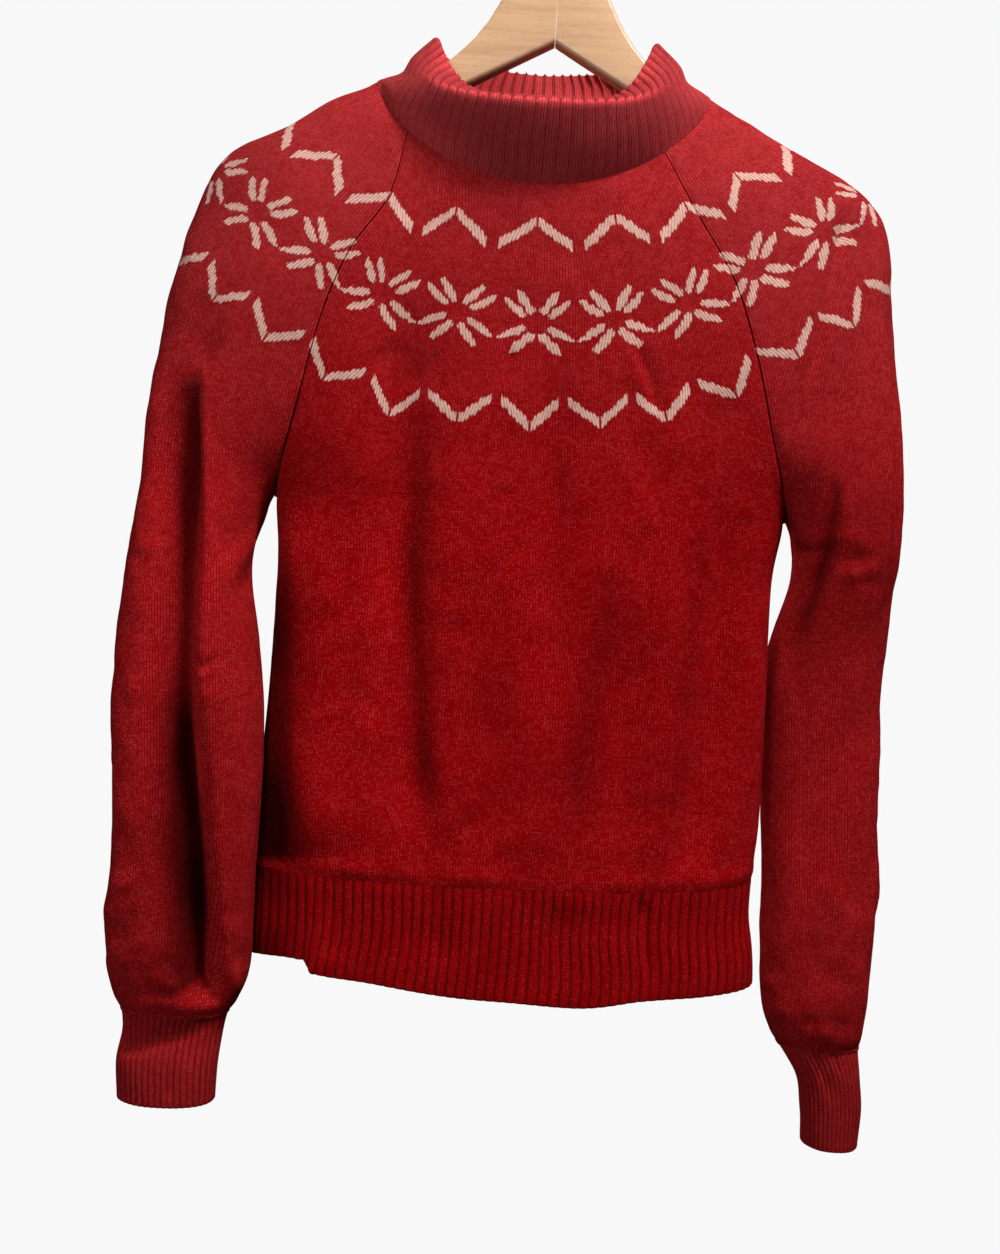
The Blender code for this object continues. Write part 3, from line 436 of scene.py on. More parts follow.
COLLAR_SINK, RIB_SINK = 1.7, 0.15     # mm that a rib lies in at its seam
LIP_REACH = (50.0, 80.0)              # mm from its middle over which the lip's painted light fades
LIP_START = (0.46, 0.58)              # shares of the collar's rows between which it turns over
# Relief on the collar's front below its lip, the painted shade there, and the painted light on the lip
COLLAR_BASE_RELIEF, COLLAR_SHADE, LIP_PAINTED_LIGHT = 0.35, 0.30, 1.0
NECK_CHAIN_STAND = -0.9
CUFF_LEFT_CREASES = [
    Crease([(-240, 768), (-227, 766), (-212, 761), (-193, 754), (-176, 745)], 2.4, 8, 3.0, 0.1, 0.15, 1.6),
    Crease([(-206, 770), (-204, 784), (-206, 798)], 3, 4, 1.2),
]
CUFF_RIGHT_CREASES = [
    Crease([(198, 750), (203, 760), (208, 771), (213, 784), (216, 796)], 2.4, 6, 2.2, 0.2, 0.35, 1.5),
    Crease([(212, 752), (217, 763), (221, 775)], 2, 4, 1.6, 0.2, 0.35, 1.5),
]
HEM_CREASES = [
    Crease([(80, 652), (84, 680), (90, 716)], 3.5, 5, 2.4),
    Crease([(-46, 650), (-44, 684), (-40, 712)], 6, 9, 1.6),
    Crease([(28, 655), (34, 690), (40, 720)], 8, 10, 1.4),
    Crease([(-112, 655), (-110, 690), (-108, 706)], 7, 7, 1.3),
]
CAMERA_PLACE, CAMERA_ROLL = (-15.7, -870.0, -493.0), 3.0
CAMERA_REACH, SENSOR = 1338.0 / 1254.0, 36.0      # focal length in frame heights, and the sensor's height
Lamp = namedtuple("Lamp", "place target size")
LAMPS = {
    "key": Lamp((0.80, -0.80, 1.50), (0.0, 0.0, -0.40), 0.5),
    "side": Lamp((-0.45, -1.30, -0.05), (0.0, 0.0, -0.50), 0.5),
    "back": Lamp((-0.4, 1.3, 0.3), (0.0, 0.0, -0.45), 1.0),
}
STUDIO_RADIUS, FLOOR_LEVEL = 6.0, -1.25

# How each piece of plain knit is worked: which way its grid turns, the mm beside a seam over which its
# creases fade, its width, its seed, and the bulges round its foot and their height
Plain = namedtuple("Plain", "outward seam_fade width seed bulges bulge")
PLAIN = {
    "front": Plain(-1, 13, 390.0, 11, 60, 1.0),
    "back": Plain(1, 13, 390.0, 12, 60, 1.0),
    "sleeve_left": Plain(1, 9, 230.0, 13, 26, 0.5),
    "sleeve_right": Plain(-1, 9, 230.0, 14, 26, 0.5),
}
SleeveCreases = namedtuple("SleeveCreases", "side front back outer shades")
SLEEVE_CREASES = {
    "sleeve_left": SleeveCreases(-1, LEFT_CREASES, LEFT_BACK_CREASES, LEFT_SIDE_CREASES, LEFT_SHADES),
    "sleeve_right": SleeveCreases(1, RIGHT_CREASES, RIGHT_BACK_CREASES, RIGHT_SIDE_CREASES, RIGHT_SHADES),
}
# How each ring of ribs is worked: roll is how much its lip thickens, sink how far it lies in at its seam
Band = namedtuple("Band", "outward wall creases shades roll sink")
BANDS = {
    "collar": Band(1, COLLAR_WALL, [], [], COLLAR_ROLL, COLLAR_SINK),
    "hem_rib": Band(-1, RIB_WALL, HEM_CREASES, HEM_SHADES, 0.0, RIB_SINK),
    "cuff_left": Band(1, RIB_WALL, CUFF_LEFT_CREASES, [], 0.0, RIB_SINK),
    "cuff_right": Band(-1, RIB_WALL, CUFF_RIGHT_CREASES, [], 0.0, RIB_SINK),
}
# What each piece was cut to, in metres and square metres; a ring is laid flat as a strip
Cut = namedtuple("Cut", "width length area")
CUTS = {
    "front": Cut(0.39, 0.48, 0.146),
    "back": Cut(0.39, 0.51, 0.148),
    "sleeve_left": Cut(0.23, 0.61, 0.138),
    "sleeve_right": Cut(0.23, 0.61, 0.131),
    "collar": Cut(0.40, 0.066, 0.0255),
    "hem_rib": Cut(0.74, 0.07, 0.0475),
    "cuff_left": Cut(0.15, 0.066, 0.0098),
    "cuff_right": Cut(0.15, 0.066, 0.0088),
}


# ---------------------------------------------------------------- form

def curve_through(keys, values, at):
    """Cubic through a table's rows, with slopes from the neighbouring rows; a row may be a whole ring."""
    keys, values, at = (np.asarray(given, dtype=float) for given in (keys, values, at))
    slopes = np.gradient(values, keys, axis=0)
    row = np.clip(np.searchsorted(keys, at, side="right") - 1, 0, len(keys) - 2)
    spread = (...,) + (None,) * (values.ndim - 1)
    span = (keys[row + 1] - keys[row])[spread]
    u = np.clip((at - keys[row])[spread] / span, 0.0, 1.0)
    start = (1 + 2 * u) * (1 - u) ** 2 * values[row] + u * (1 - u) ** 2 * span * slopes[row]
    end = u * u * (3 - 2 * u) * values[row + 1] - u * u * (1 - u) * span * slopes[row + 1]
    return start + end


def column(table, name, key, at):
    return curve_through([getattr(row, key) for row in table], [getattr(row, name) for row in table], at)


def signed_power(value, power):
    return np.sign(value) * np.abs(value) ** power


def smooth_step(low, high, value):
    part = np.clip((value - low) / (high - low), 0, 1)
    return part * part * (3 - 2 * part)


def hump(distance, width):
    """1 where the distance is 0, and soon 0 beyond the width."""
    return np.exp(-(distance / width) ** 2)


def point(x, y, drop):
    x, y, drop = np.broadcast_arrays(np.asarray(x, float), np.asarray(y, float), np.asarray(drop, float))
    return np.stack([x, y, -drop], axis=-1)


def neck_ring(degrees):
    """The neck seam at an angle round from the centre front, positive to the viewer's right."""
    angle = np.radians(degrees)
    forward = np.cos(angle)
    depth = np.where(forward > 0, NECK_FRONT_DEPTH, NECK_BACK_DEPTH)
    dip = np.where(forward > 0, NECK_FRONT_DIP, NECK_BACK_DIP)
    drop = NECK_SIDE_DROP + dip * np.abs(forward) ** NECK_DIP_POWER
    return point(NECK_X + NECK_HALF_WIDTH * np.sin(angle), -depth * forward, drop)


def raglan(side, front, share):
    """A raglan seam: side is -1 or 1, front is True or False."""
    table = FRONT_RAGLAN if front else BACK_RAGLANS
    if front:
        start = neck_ring(FRONT_RAGLAN_LEFT if side < 0 else FRONT_RAGLAN_RIGHT)
    else:
        start = neck_ring(side * BACK_RAGLAN)
    label = "left" if side < 0 else "right"
    shares = [0.0] + [row.share for row in table] + [1.0]
    xs = [side * start[0]] + [getattr(row, label + "_x") for row in table] + [UNDERARM_X]
    drops = [-start[2]] + [getattr(row, label + "_drop") for row in table] + [UNDERARM_DROP]
    ys = [start[1]] + [row.y for row in table] + [0.0]
    return point(side * curve_through(shares, xs, share), curve_through(shares, ys, share),
                 curve_through(shares, drops, share))


def body_half(facing, across, drop):
    """Half a body ring: facing is -1 for the front, 1 for the back; across runs left to right."""
    left = -column(BODY, "left", "drop", drop)
    right = column(BODY, "right", "drop", drop)
    depth = column(BODY, "front" if facing < 0 else "back", "drop", drop)
    angle = np.pi * np.asarray(across)
    x = 0.5 * (left + right) - 0.5 * (right - left) * signed_power(np.cos(angle), 2 / PANEL_POWER)
    y = facing * depth * np.abs(np.sin(angle)) ** (2 / PANEL_POWER)
    return point(x, y, drop)


def yoke_panel(facing, across, share):
    """Coons patch seen from the front, bowed to the depth of the neck seam and the body ring."""
    front = facing < 0
    if front:
        neck_angles = FRONT_RAGLAN_LEFT + (FRONT_RAGLAN_RIGHT - FRONT_RAGLAN_LEFT) * across
    else:
        neck_angles = -BACK_RAGLAN - (360 - 2 * BACK_RAGLAN) * across
    top = neck_ring(neck_angles)
    bottom = body_half(facing, across, UNDERARM_DROP)
    left, right = raglan(-1, front, share), raglan(1, front, share)
    corners = [raglan(side, front, end) for side in (-1, 1) for end in (0.0, 1.0)]
    u, v = np.asarray(across)[..., None], np.asarray(share)[..., None]
    blend = (1 - v) * top + v * bottom + (1 - u) * left + u * right
    patch = blend - ((1 - u) * ((1 - v) * corners[0] + v * corners[1])
                     + u * ((1 - v) * corners[2] + v * corners[3]))

    def bow(part):
        """A ring's depth across the panel, an arc between the depths of its two seams."""
        part = np.asarray(part) + 0 * across
        neck_depth = NECK_FRONT_DEPTH if front else NECK_BACK_DEPTH
        body_depth = column(BODY, "front" if front else "back", "drop", UNDERARM_DROP)
        middle = neck_depth + (body_depth - neck_depth) * part
        ends = [np.abs(raglan(side, front, part)[..., 1]) / middle for side in (-1, 1)]
        start, finish = (np.arcsin(np.clip(end, 0, 1) ** (PANEL_POWER / 2)) for end in ends)
        angle = start + (np.pi - finish - start) * across
        return facing * middle * np.abs(np.sin(angle)) ** (2 / PANEL_POWER)

    patch[..., 1] = bow(share) + (1 - share) ** 3 * (top[..., 1] - bow(0.0))
    return patch


def fold_depth(folds, x, drop):
    """How far the long folds of a table sink at a place."""
    sunk = np.zeros(np.broadcast(x, drop).shape)
    for fold in folds:
        along = (drop - fold.top) / (fold.bottom - fold.top)
        centre = fold.x_top + (fold.x_bottom - fold.x_top) * np.clip(along, 0, 1)
        beyond = np.maximum((fold.top - drop) / FOLD_HEAD, (drop - fold.bottom) / FOLD_FOOT)
        fade = smooth_step(0, 1, 1.0 - beyond)
        sunk = np.maximum(sunk, fold.depth * hump(x - centre, fold.width) * fade)
    return sunk


def sleeve_ring(side, table, around, drop):
    """A closed level ring: around is 0 and 1 at the body side, 0.5 at the outer line, front first."""
    inner = column(table, "inner", "drop", drop)
    outer = column(table, "outer", "drop", drop)
    angle = 2 * np.pi * np.asarray(around)
    forward = np.sin(angle)
    depth = np.where(forward > 0, column(table, "front", "drop", drop), column(table, "back", "drop", drop))
    x = 0.5 * (inner + outer) - 0.5 * (outer - inner) * signed_power(np.cos(angle), 2 / SLEEVE_POWER)
    y = column(table, "middle", "drop", drop) - depth * signed_power(forward, 2 / SLEEVE_POWER)
    return point(side * x, y, drop)


def half_cap(side, front, over, share):
    """Front or back half of the sleeve cap: over runs from the raglan seam (0) to the ridge (1)."""
    seam = raglan(side, front, share)
    label = "left" if side < 0 else "right"
    ridge = point(side * column(RIDGE, label + "_x", "share", share), 0.0,
                  column(RIDGE, label + "_drop", "share", share))
    facing = -1.0 if front else 1.0
    middle = column(SLEEVE_LEFT if side < 0 else SLEEVE_RIGHT, "middle", "drop", UNDERARM_DROP) * share ** 4
    depth = np.maximum(column(RIDGE, "front" if front else "back", "share", share),
                       np.abs(seam[..., 1] - middle) + 1e-6)
    start = np.arcsin(np.clip(np.abs(seam[..., 1] - middle) / depth, 0, 1))
    angle = start + (np.pi - start) * over
    power = 2 / (2 + (SLEEVE_POWER - 2) * share)
    reach = signed_power(np.cos(start), power) - signed_power(np.cos(angle), power)
    reach = reach / (signed_power(np.cos(start), power) + 1)
    across = seam + (ridge - seam) * reach[..., None]
    across[..., 1] = middle + facing * depth * np.abs(np.sin(angle)) ** power
    return across


def cap_row(side, around, share):
    """A cap ring from the front raglan seam over the ridge to the back one."""
    front = around <= 0.5
    over = np.where(front, 2 * around, 2 - 2 * around)
    share = np.asarray(share) + 0 * around

    def both(part):
        return np.where(front[..., None], half_cap(side, True, over, part), half_cap(side, False, over, part))

    first = FRONT_RAGLAN_LEFT if side < 0 else FRONT_RAGLAN_RIGHT
    front_angle = first + (side * 90 - first) * over
    back_angle = side * (BACK_RAGLAN - (BACK_RAGLAN - 90) * over)
    on_neck = neck_ring(np.where(front, front_angle, back_angle))
    return both(share) + ((1 - share) ** 3)[..., None] * (on_neck - both(0 * share))


def rib_top(across, facing):
    side = RIB_TOP_LEFT + (RIB_TOP_RIGHT - RIB_TOP_LEFT) * across
    return side + (RIB_TOP_DIP if facing < 0 else 0.0) * np.sin(np.pi * across)


def steps_along(grid, axis):
    """Distance along a grid's rows (axis 1) or columns (axis 0) from their start."""
    step = np.linalg.norm(np.diff(grid, axis=axis), axis=-1)
    start = np.zeros_like(np.take(step, [0], axis=axis))
    return np.concatenate([start, np.cumsum(step, axis=axis)], axis=axis)


def settle(grid, passes, pinned_rows=0):
    """Eases a grid's rows into each other, and the pinned rows only away from their seams."""
    eased = grid.copy()
    for _ in range(passes):
        eased[1:-1] = 0.25 * eased[:-2] + 0.5 * eased[1:-1] + 0.25 * eased[2:]
    along = steps_along(grid, 1)
    seam = np.minimum(along, along[:, -1:] - along)
    row = np.arange(len(grid))[:, None]
    underarm = smooth_step(pinned_rows - UNDERARM_ROWS, pinned_rows, row) * (seam > 0)
    freed = np.where(row < pinned_rows, np.maximum(smooth_step(0, SEAM_CALM, seam), underarm), 1.0)
    return grid + (eased - grid) * freed[..., None]


def even_across(trim):
    """Shares across a body ring that lie at even distances along it."""
    fine = np.linspace(trim, 1 - trim, FINE_STEPS + 1)
    length = steps_along(body_half(-1, fine, EVEN_DROP), 0)
    return np.interp(np.linspace(0, length[-1], RING_STEPS + 1), length, fine)


def seam_shares(columns):
    """Shares from 0 to 1 that lie closer near both ends, where a seam's edge turns in."""
    middle = (np.arange(columns) + 0.5) / columns
    step = EDGE_STEP + (1 - EDGE_STEP) * smooth_step(0, EDGE_ZONE, np.minimum(middle, 1 - middle))
    shares = np.concatenate([[0], np.cumsum(step)])
    return shares / shares[-1]


def resample(row, shares):
    """Points at these shares of a row's own length."""
    length = steps_along(row, 0)
    return np.stack([np.interp(shares * length[-1], length, row[:, axis]) for axis in range(3)], axis=1)


def panel_form(facing):
    """Grid of one body panel: yoke rows, then body rows down to the rib."""
    across = even_across(SIDE_TRIM)
    rows = [yoke_panel(facing, across, np.full_like(across, max(share, NECK_TRIM)))
            for share in np.linspace(0, 1, YOKE_ROWS + 1)]
    for part in np.linspace(0, 1, BODY_ROWS + 1)[1:]:
        drop = UNDERARM_DROP + (rib_top(across, facing) - SEAM_GAP - UNDERARM_DROP) * part
        rows.append(body_half(facing, across, drop))
    shares = seam_shares(PANEL_COLUMNS)
    grid = settle(np.array([resample(row, shares) for row in rows]), PANEL_PASSES, YOKE_ROWS + 1)
    sunk = fold_depth(FRONT_FOLDS if facing < 0 else BACK_FOLDS, grid[..., 0], -grid[..., 2])
    grid[..., 1] -= facing * sunk * smooth_step(0, 1, np.abs(grid[..., 1]) / PANEL_FADE)
    return grid


def sleeve_form(side):
    """Cap rows, open along the raglan seams, then tube rows whose last column meets the first."""
    table = SLEEVE_LEFT if side < 0 else SLEEVE_RIGHT
    over, around = (np.linspace(trim, 1 - trim, RING_STEPS + 1) for trim in (CAP_SIDE_TRIM, 0.0))
    rows = [cap_row(side, over, max(share, CAP_NECK_TRIM)) for share in np.linspace(0, 1, CAP_ROWS + 1)[:-1]]
    rows += [sleeve_ring(side, table, around, np.full_like(around, drop))
             for drop in np.linspace(UNDERARM_DROP, table[-1].drop - SEAM_GAP, TUBE_ROWS + 1)]
    shares = seam_shares(SLEEVE_COLUMNS)
    return settle(np.array([resample(row, shares) for row in rows]), SLEEVE_PASSES, CAP_ROWS)


def collar_form():
    """Rings from the neck seam up and over to the rim."""
    degrees = np.linspace(-180, 180, COLLAR_STEPS + 1)
    side, forward = np.sin(np.radians(degrees)), np.cos(np.radians(degrees))
    rings = []
    for ring in COLLAR:
        depth = np.where(forward > 0, ring.front, ring.back)
        level = 0.5 * (ring.left_drop + ring.right_drop) + 0.5 * (ring.right_drop - ring.left_drop) * side
        part = smooth_step(SHOULDER_START, SHOULDER_END, np.abs(forward))
        dip = np.abs(forward) ** NECK_DIP_POWER * (1 - ring.peaked) + part * ring.peaked
        drop = level + (np.where(forward > 0, ring.front_drop, ring.back_drop) - level) * dip
        rings.append(point(ring.x + ring.half_width * side, -depth * forward, drop))
    rings[0] = neck_ring(degrees)
    return curve_through(np.linspace(0, 1, len(COLLAR)), rings, np.linspace(0, 1, COLLAR_ROWS + 1))


# ---------------------------------------------------------------- relief

def normals_of(grid, wrap, outward):
    """Unit normals of a grid; from row wrap on, the last column meets the first.

    outward is 1 where a grid's columns, then its rows, turn about the way out of the cloth, else -1.
    """
    along = np.gradient(grid, axis=1)
    turned = grid[wrap:, 1] - grid[wrap:, -2]
    along[wrap:, 0] = along[wrap:, -1] = 0.5 * turned
    normal = outward * np.cross(along, np.gradient(grid, axis=0))
    return normal / np.maximum(np.linalg.norm(normal, axis=-1, keepdims=True), 1e-9)


def crease_depth(creases, across, drop):
    """How far the creases sink at places given by two coordinates."""
    varied, rate, apart = CREASE_UNEVEN
    rim, rim_place, rim_width = CREASE_RIM
    sunk = np.zeros(across.shape)
    for number, crease in enumerate(creases):
        path = np.array(crease.path, float)
        keys = np.arange(len(path))
        length = np.linalg.norm(np.diff(path, axis=0), axis=1).sum()
        at = np.linspace(0, len(path) - 1, max(8, int(length / CREASE_STEP)))
        line = curve_through(keys, path, at)
        ahead = np.gradient(line, axis=0)
        ahead /= np.linalg.norm(ahead, axis=1, keepdims=True)
        reach = CREASE_REACH * max(crease.left, crease.right)
        low, high = line.min(0) - reach, line.max(0) + reach
        near = np.nonzero((across > low[0]) & (across < high[0]) & (drop > low[1]) & (drop < high[1]))
        if not len(near[0]):
            continue
        places = np.stack([across[near], drop[near]], axis=1)
        gap = places[:, None, :] - line[None, :, :]
        nearest = np.argmin((gap ** 2).sum(-1), axis=1)
        gap = gap[np.arange(len(places)), nearest]
        way = ahead[nearest]
        right_side = gap[:, 0] * way[:, 1] - gap[:, 1] * way[:, 0] > 0
        q = np.linalg.norm(gap, axis=1) / np.where(right_side, crease.right, crease.left)
        part = nearest / (len(line) - 1)
        taper = smooth_step(0, crease.head, part) * smooth_step(0, crease.tail, 1 - part)
        uneven = 1 + varied * np.sin(rate * part + apart * number)
        shape = np.exp(-q ** crease.crisp) - rim * hump(q - rim_place, rim_width)
        sunk[near] += crease.depth * shape * taper * uneven
    return sunk


def ripple(seed, around, down, cells):
    """Soft uneven relief from -1 to 1; around runs from 0 to 1 and meets itself."""
    rng = np.random.default_rng(seed)
    tall = int(math.ceil(down.max())) + 3
    lattice = rng.uniform(-1, 1, (tall, cells))
    a = np.mod(around, 1.0) * cells
    i, j = np.floor(a).astype(int), np.floor(down).astype(int)
    u, v = smooth_step(0, 1, a - i), smooth_step(0, 1, down - j)
    i, k = i % cells, (i + 1) % cells
    top = lattice[j, i] * (1 - u) + lattice[j, k] * u
    low = lattice[j + 1, i] * (1 - u) + lattice[j + 1, k] * u
    return top * (1 - v) + low * v


# ---------------------------------------------------------------- shells

class Cloth:
    """A closed knitted shell, put together from layers of grid points."""

    def __init__(self):
        self.points, self.weld, self.quads = [], [], []
        self.uvs, self.marks = {}, {}
        self.count = 0

    def layer(self, grid, wrap, uvs=None, marks=None):
        """Adds a grid's points and returns their numbers; from row wrap on its last column is the first."""
        numbers = self.count + np.arange(grid.shape[0] * grid.shape[1]).reshape(grid.shape[:2])
        weld = numbers.copy()
        weld[wrap:, -1] = weld[wrap:, 0]
        self.points.append(grid.reshape(-1, 3))
        self.weld.append(weld.ravel())
        for name, value in (uvs or {}).items():
            self.uvs.setdefault(name, []).append(value.reshape(-1, 2))
        for name, value in (marks or {}).items():
            self.marks.setdefault(name, []).append(value.reshape(numbers.size, -1))
        self.count += numbers.size
        return numbers

    def strip(self, first, second):
        """Quads between two equally long lines of points."""
        self.quads.append(np.stack([first[:-1], second[:-1], second[1:], first[1:]], axis=1))

    def sheet(self, numbers, turned=False):
        for upper, lower in zip(numbers[:-1], numbers[1:]):
            if turned:
                self.strip(lower, upper)
            else:
                self.strip(upper, lower)

    def mesh(self, name):
        points, weld = np.concatenate(self.points), np.concatenate(self.weld)
        quads = np.concatenate(self.quads)
        kept, where = np.unique(weld, return_inverse=True)
        corners = points[kept] * MM
        faces = where[quads]
        a, b, c, d = (corners[faces[:, i]] for i in range(4))
        volume = (np.cross(a, b) * c).sum() + (np.cross(a, c) * d).sum()
        if volume < 0:
            quads, faces = quads[:, ::-1], faces[:, ::-1]
        data = bpy.data.meshes.new(name)
        data.from_pydata(corners.tolist(), [], faces.tolist())
        for label, parts in self.uvs.items():
            values = np.concatenate(parts)[quads].reshape(-1, 2)
            data.uv_layers.new(name=label).data.foreach_set("uv", values.astype(np.float32).ravel())
        for label, parts in self.marks.items():
            values = np.concatenate(parts)[kept]
            kind, field = ("FLOAT", "value") if values.shape[1] == 1 else ("FLOAT_VECTOR", "vector")
            mark = data.attributes.new(label, kind, "POINT")
            mark.data.foreach_set(field, values.astype(np.float32).ravel())
        smooth(data, SHARP_ANGLE).validate()
        return data


def shell(name, outer, inner, wrap, uvs, marks):
    """Closes an outer and an inner grid into a shell with plain edges."""
    cloth = Cloth()
    out = cloth.layer(outer, wrap, uvs, marks)
    into = cloth.layer(inner, wrap, uvs, marks)
    cloth.sheet(out)
    cloth.sheet(into, turned=True)
    cloth.strip(into[0], out[0])
    cloth.strip(out[-1], into[-1])
    if wrap > 0:
        cloth.strip(out[:wrap + 1, 0], into[:wrap + 1, 0])
        cloth.strip(into[:wrap + 1, -1], out[:wrap + 1, -1])
    return cloth.mesh(name)


def band_shell(name, outer, inner, uvs, marks):
    """A ring piece: the rounded end turns over in a soft edge, the other end is plain."""
    rows = [outer]
    mid, half = 0.5 * (outer[-1] + inner[-1]), 0.5 * (outer[-1] - inner[-1])
    ahead = outer[-1] - outer[-2] + inner[-1] - inner[-2]
    ahead *= np.linalg.norm(half, axis=1, keepdims=True) / np.linalg.norm(ahead, axis=1, keepdims=True)
    turns = np.linspace(0, np.pi, ROUND_EDGE_STEPS + 2)[1:-1]
    rows.append(np.array([mid + half * np.cos(t) + ahead * np.sin(t) for t in turns]))
    rows.append(inner[::-1])
    grid = np.concatenate(rows)
    cloth = Cloth()

    def stretched(value):
        edge = np.repeat(value[-1:], ROUND_EDGE_STEPS, axis=0)
        return np.concatenate([value, edge, value[::-1]])

    numbers = cloth.layer(grid, 0, {key: stretched(value) for key, value in uvs.items()},
                          {key: stretched(value) for key, value in marks.items()})
    cloth.sheet(numbers)
    cloth.strip(numbers[-1], numbers[0])
    return cloth.mesh(name)


def mesh_from(shape, name):
    """A mesh from a bmesh, which it ends."""
    data = bpy.data.meshes.new(name)
    shape.to_mesh(data)
    shape.free()
    return data


def smooth(data, sharp_angle):
    """Shades a mesh smooth, apart from edges sharper than the angle in degrees."""
    data.shade_smooth()
    data.set_sharp_from_angle(angle=math.radians(sharp_angle))
    return data


def linked(name, data):
    """A new object in the scene that holds the data."""
    made = bpy.data.objects.new(name, data)
    bpy.context.scene.collection.objects.link(made)
    return made


def evaluated(holder):
    """The plain mesh that an object's modifiers or curve give; the object is removed."""
    bpy.context.view_layer.update()
    ready = holder.evaluated_get(bpy.context.evaluated_depsgraph_get())
    data = bpy.data.meshes.new_from_object(ready)
    bpy.data.objects.remove(holder)
    return data


def hang(name, data, material=None):
    """Puts a finished mesh into the scene on the one body that there is."""
    if material is not None:
        data.materials.append(material)
    piece = linked(name, data)
    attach(piece, "root")
    return piece


def cover(node, suffix, data, material=None):
    """Hangs a piece in a node's place and hides the node."""
    piece = hang(node + suffix, data, material)
    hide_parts(node)
    node in CUTS


# ---------------------------------------------------------------- node trees

class Value:
    """One varying number or vector in a node tree; arithmetic on it adds Math nodes."""

    def __init__(self, tree, socket):
        self.tree, self.socket = tree, socket

    def __add__(self, other):
        return self.tree.math("ADD", self, other)

    def __sub__(self, other):
        return self.tree.math("SUBTRACT", self, other)

    def __rsub__(self, other):
        return self.tree.math("SUBTRACT", other, self)

    def __mul__(self, other):
        return self.tree.math("MULTIPLY", self, other)

    def __truediv__(self, other):
        return self.tree.math("DIVIDE", self, other)

    def __pow__(self, other):
        return self.tree.math("POWER", self, other)

    def __abs__(self):
        return self.tree.math("ABSOLUTE", self)

    __radd__, __rmul__ = __add__, __mul__


class Tree:
    """Adds nodes to a tree and hands back what they give."""

    def __init__(self, tree):
        self.nodes, self.links = tree.nodes, tree.links

    def node(self, kind, settings=None, inputs=None, output=0):
        made = self.nodes.new(kind)
        for name, value in (settings or {}).items():
            setattr(made, name, value)
        for name, value in (inputs or {}).items():
            self.feed(made.inputs[name], value)
        return Value(self, made.outputs[output])

    def feed(self, socket, value):
        if isinstance(value, Value):
            self.links.new(value.socket, socket)
        else:
            socket.default_value = value

    def math(self, operation, *values, clamp=False):
        return self.node("ShaderNodeMath", {"operation": operation, "use_clamp": clamp},
                         dict(enumerate(values)))

    def extreme(self, operation, values):
        """The MINIMUM or MAXIMUM of several values."""
        found, *others = values
        for value in others:
            found = self.math(operation, found, value)
        return found

    def part(self, value):
        return self.math("FRACT", value)

    def stored(self, name, kind="FLOAT"):
        """What a mesh stores under a name."""
        return self.node("GeometryNodeInputNamedAttribute", {"data_type": kind}, {"Name": name})

    def step(self, low, high, value):
        """0 below low, 1 above high, smooth between."""
        return self.node("ShaderNodeMapRange", {"interpolation_type": "SMOOTHSTEP"},
                         {0: value, 1: low, 2: high})

    def axis(self, vector, name):
        return self.node("ShaderNodeSeparateXYZ", None, {"Vector": vector}, name)

    def vector(self, x, y, z=0.0):
        return self.node("ShaderNodeCombineXYZ", None, {"X": x, "Y": y, "Z": z})

    def scaled(self, vector, factor):
        return self.node("ShaderNodeVectorMath", {"operation": "SCALE"}, {"Vector": vector, "Scale": factor})


class Finish(Tree):
    """A material in the making."""

    def __init__(self, name):
        self.material = bpy.data.materials.new(name)
        self.material.use_nodes = True
        super().__init__(self.material.node_tree)
        self.shader = self.nodes["Principled BSDF"]

    def set(self, **values):
        for name, value in values.items():
            socket = self.shader.inputs[name.replace("_", " ").title().replace("Ior", "IOR")]
            self.feed(socket, (*value, 1.0) if isinstance(value, tuple) else value)

    def mix(self, low, high, share):
        low, high = ((*c, 1.0) if isinstance(c, tuple) else c for c in (low, high))
        return self.node("ShaderNodeMix", {"data_type": "RGBA"}, {0: share, 6: low, 7: high}, 2)

    def uv(self, name):
        return self.node("ShaderNodeUVMap", {"uv_map": name})

    def mark(self, name):
        return self.node("ShaderNodeAttribute", {"attribute_name": name}, None, "Fac")

    def place(self):
        return self.node("ShaderNodeTexCoord", None, None, "Object")

    def noise(self, vector, scale, detail, roughness):
        return self.node("ShaderNodeTexNoise", None,
                         {"Vector": vector, "Scale": scale, "Detail": detail, "Roughness": roughness})

    def speck(self, x, y):
        """A random number for each whole x and y."""
        return self.node("ShaderNodeTexWhiteNoise", {"noise_dimensions": "2D"},
                         {"Vector": self.vector(x, y)})

    def bump(self, height, distance):
        return self.node("ShaderNodeBump", None, {"Height": height, "Distance": distance, "Strength": 1.0})


# ---------------------------------------------------------------- yarn

STITCH_SLANT = 0.75          # how far, in rows, a stitch's arms rise from its middle to its sides
GAUGE_STEP = 24              # stitches that a yoke gains at a time
# A motif's bars right of its centre, in mm, y down, each with its half widths where it starts and ends;
# the left is its mirror image. Its gaps say how far from its middle its bars start and end across, and
# how much red is left free between its upper and lower half.
Bar = namedtuple("Bar", "from_x from_y to_x to_y start end")
BAR_SWELL = 1.6
MOTIF_BARS = {
    "zigzag_upper": [Bar(1.2, 3.6, 21.5, 20.0, 2.3, 2.4)],
    "stars": [
        Bar(4.0, -6.9, 12.2, -16.9, 2.1, 1.8), Bar(9.3, -3.8, 18.4, -10.6, 2.1, 1.8),
        Bar(18.0, -10.6, 20.8, -12.8, 1.5, 0.9), Bar(8.8, 4.4, 18.2, 9.3, 2.1, 1.8),
        Bar(17.8, 9.2, 23.3, 12.0, 1.4, 0.5), Bar(3.6, 8.8, 12.8, 18.0, 2.1, 1.9),
    ],
    "zigzag_lower": [Bar(1.0, -2.8, 20.0, -18.9, 2.1, 2.1)],
}
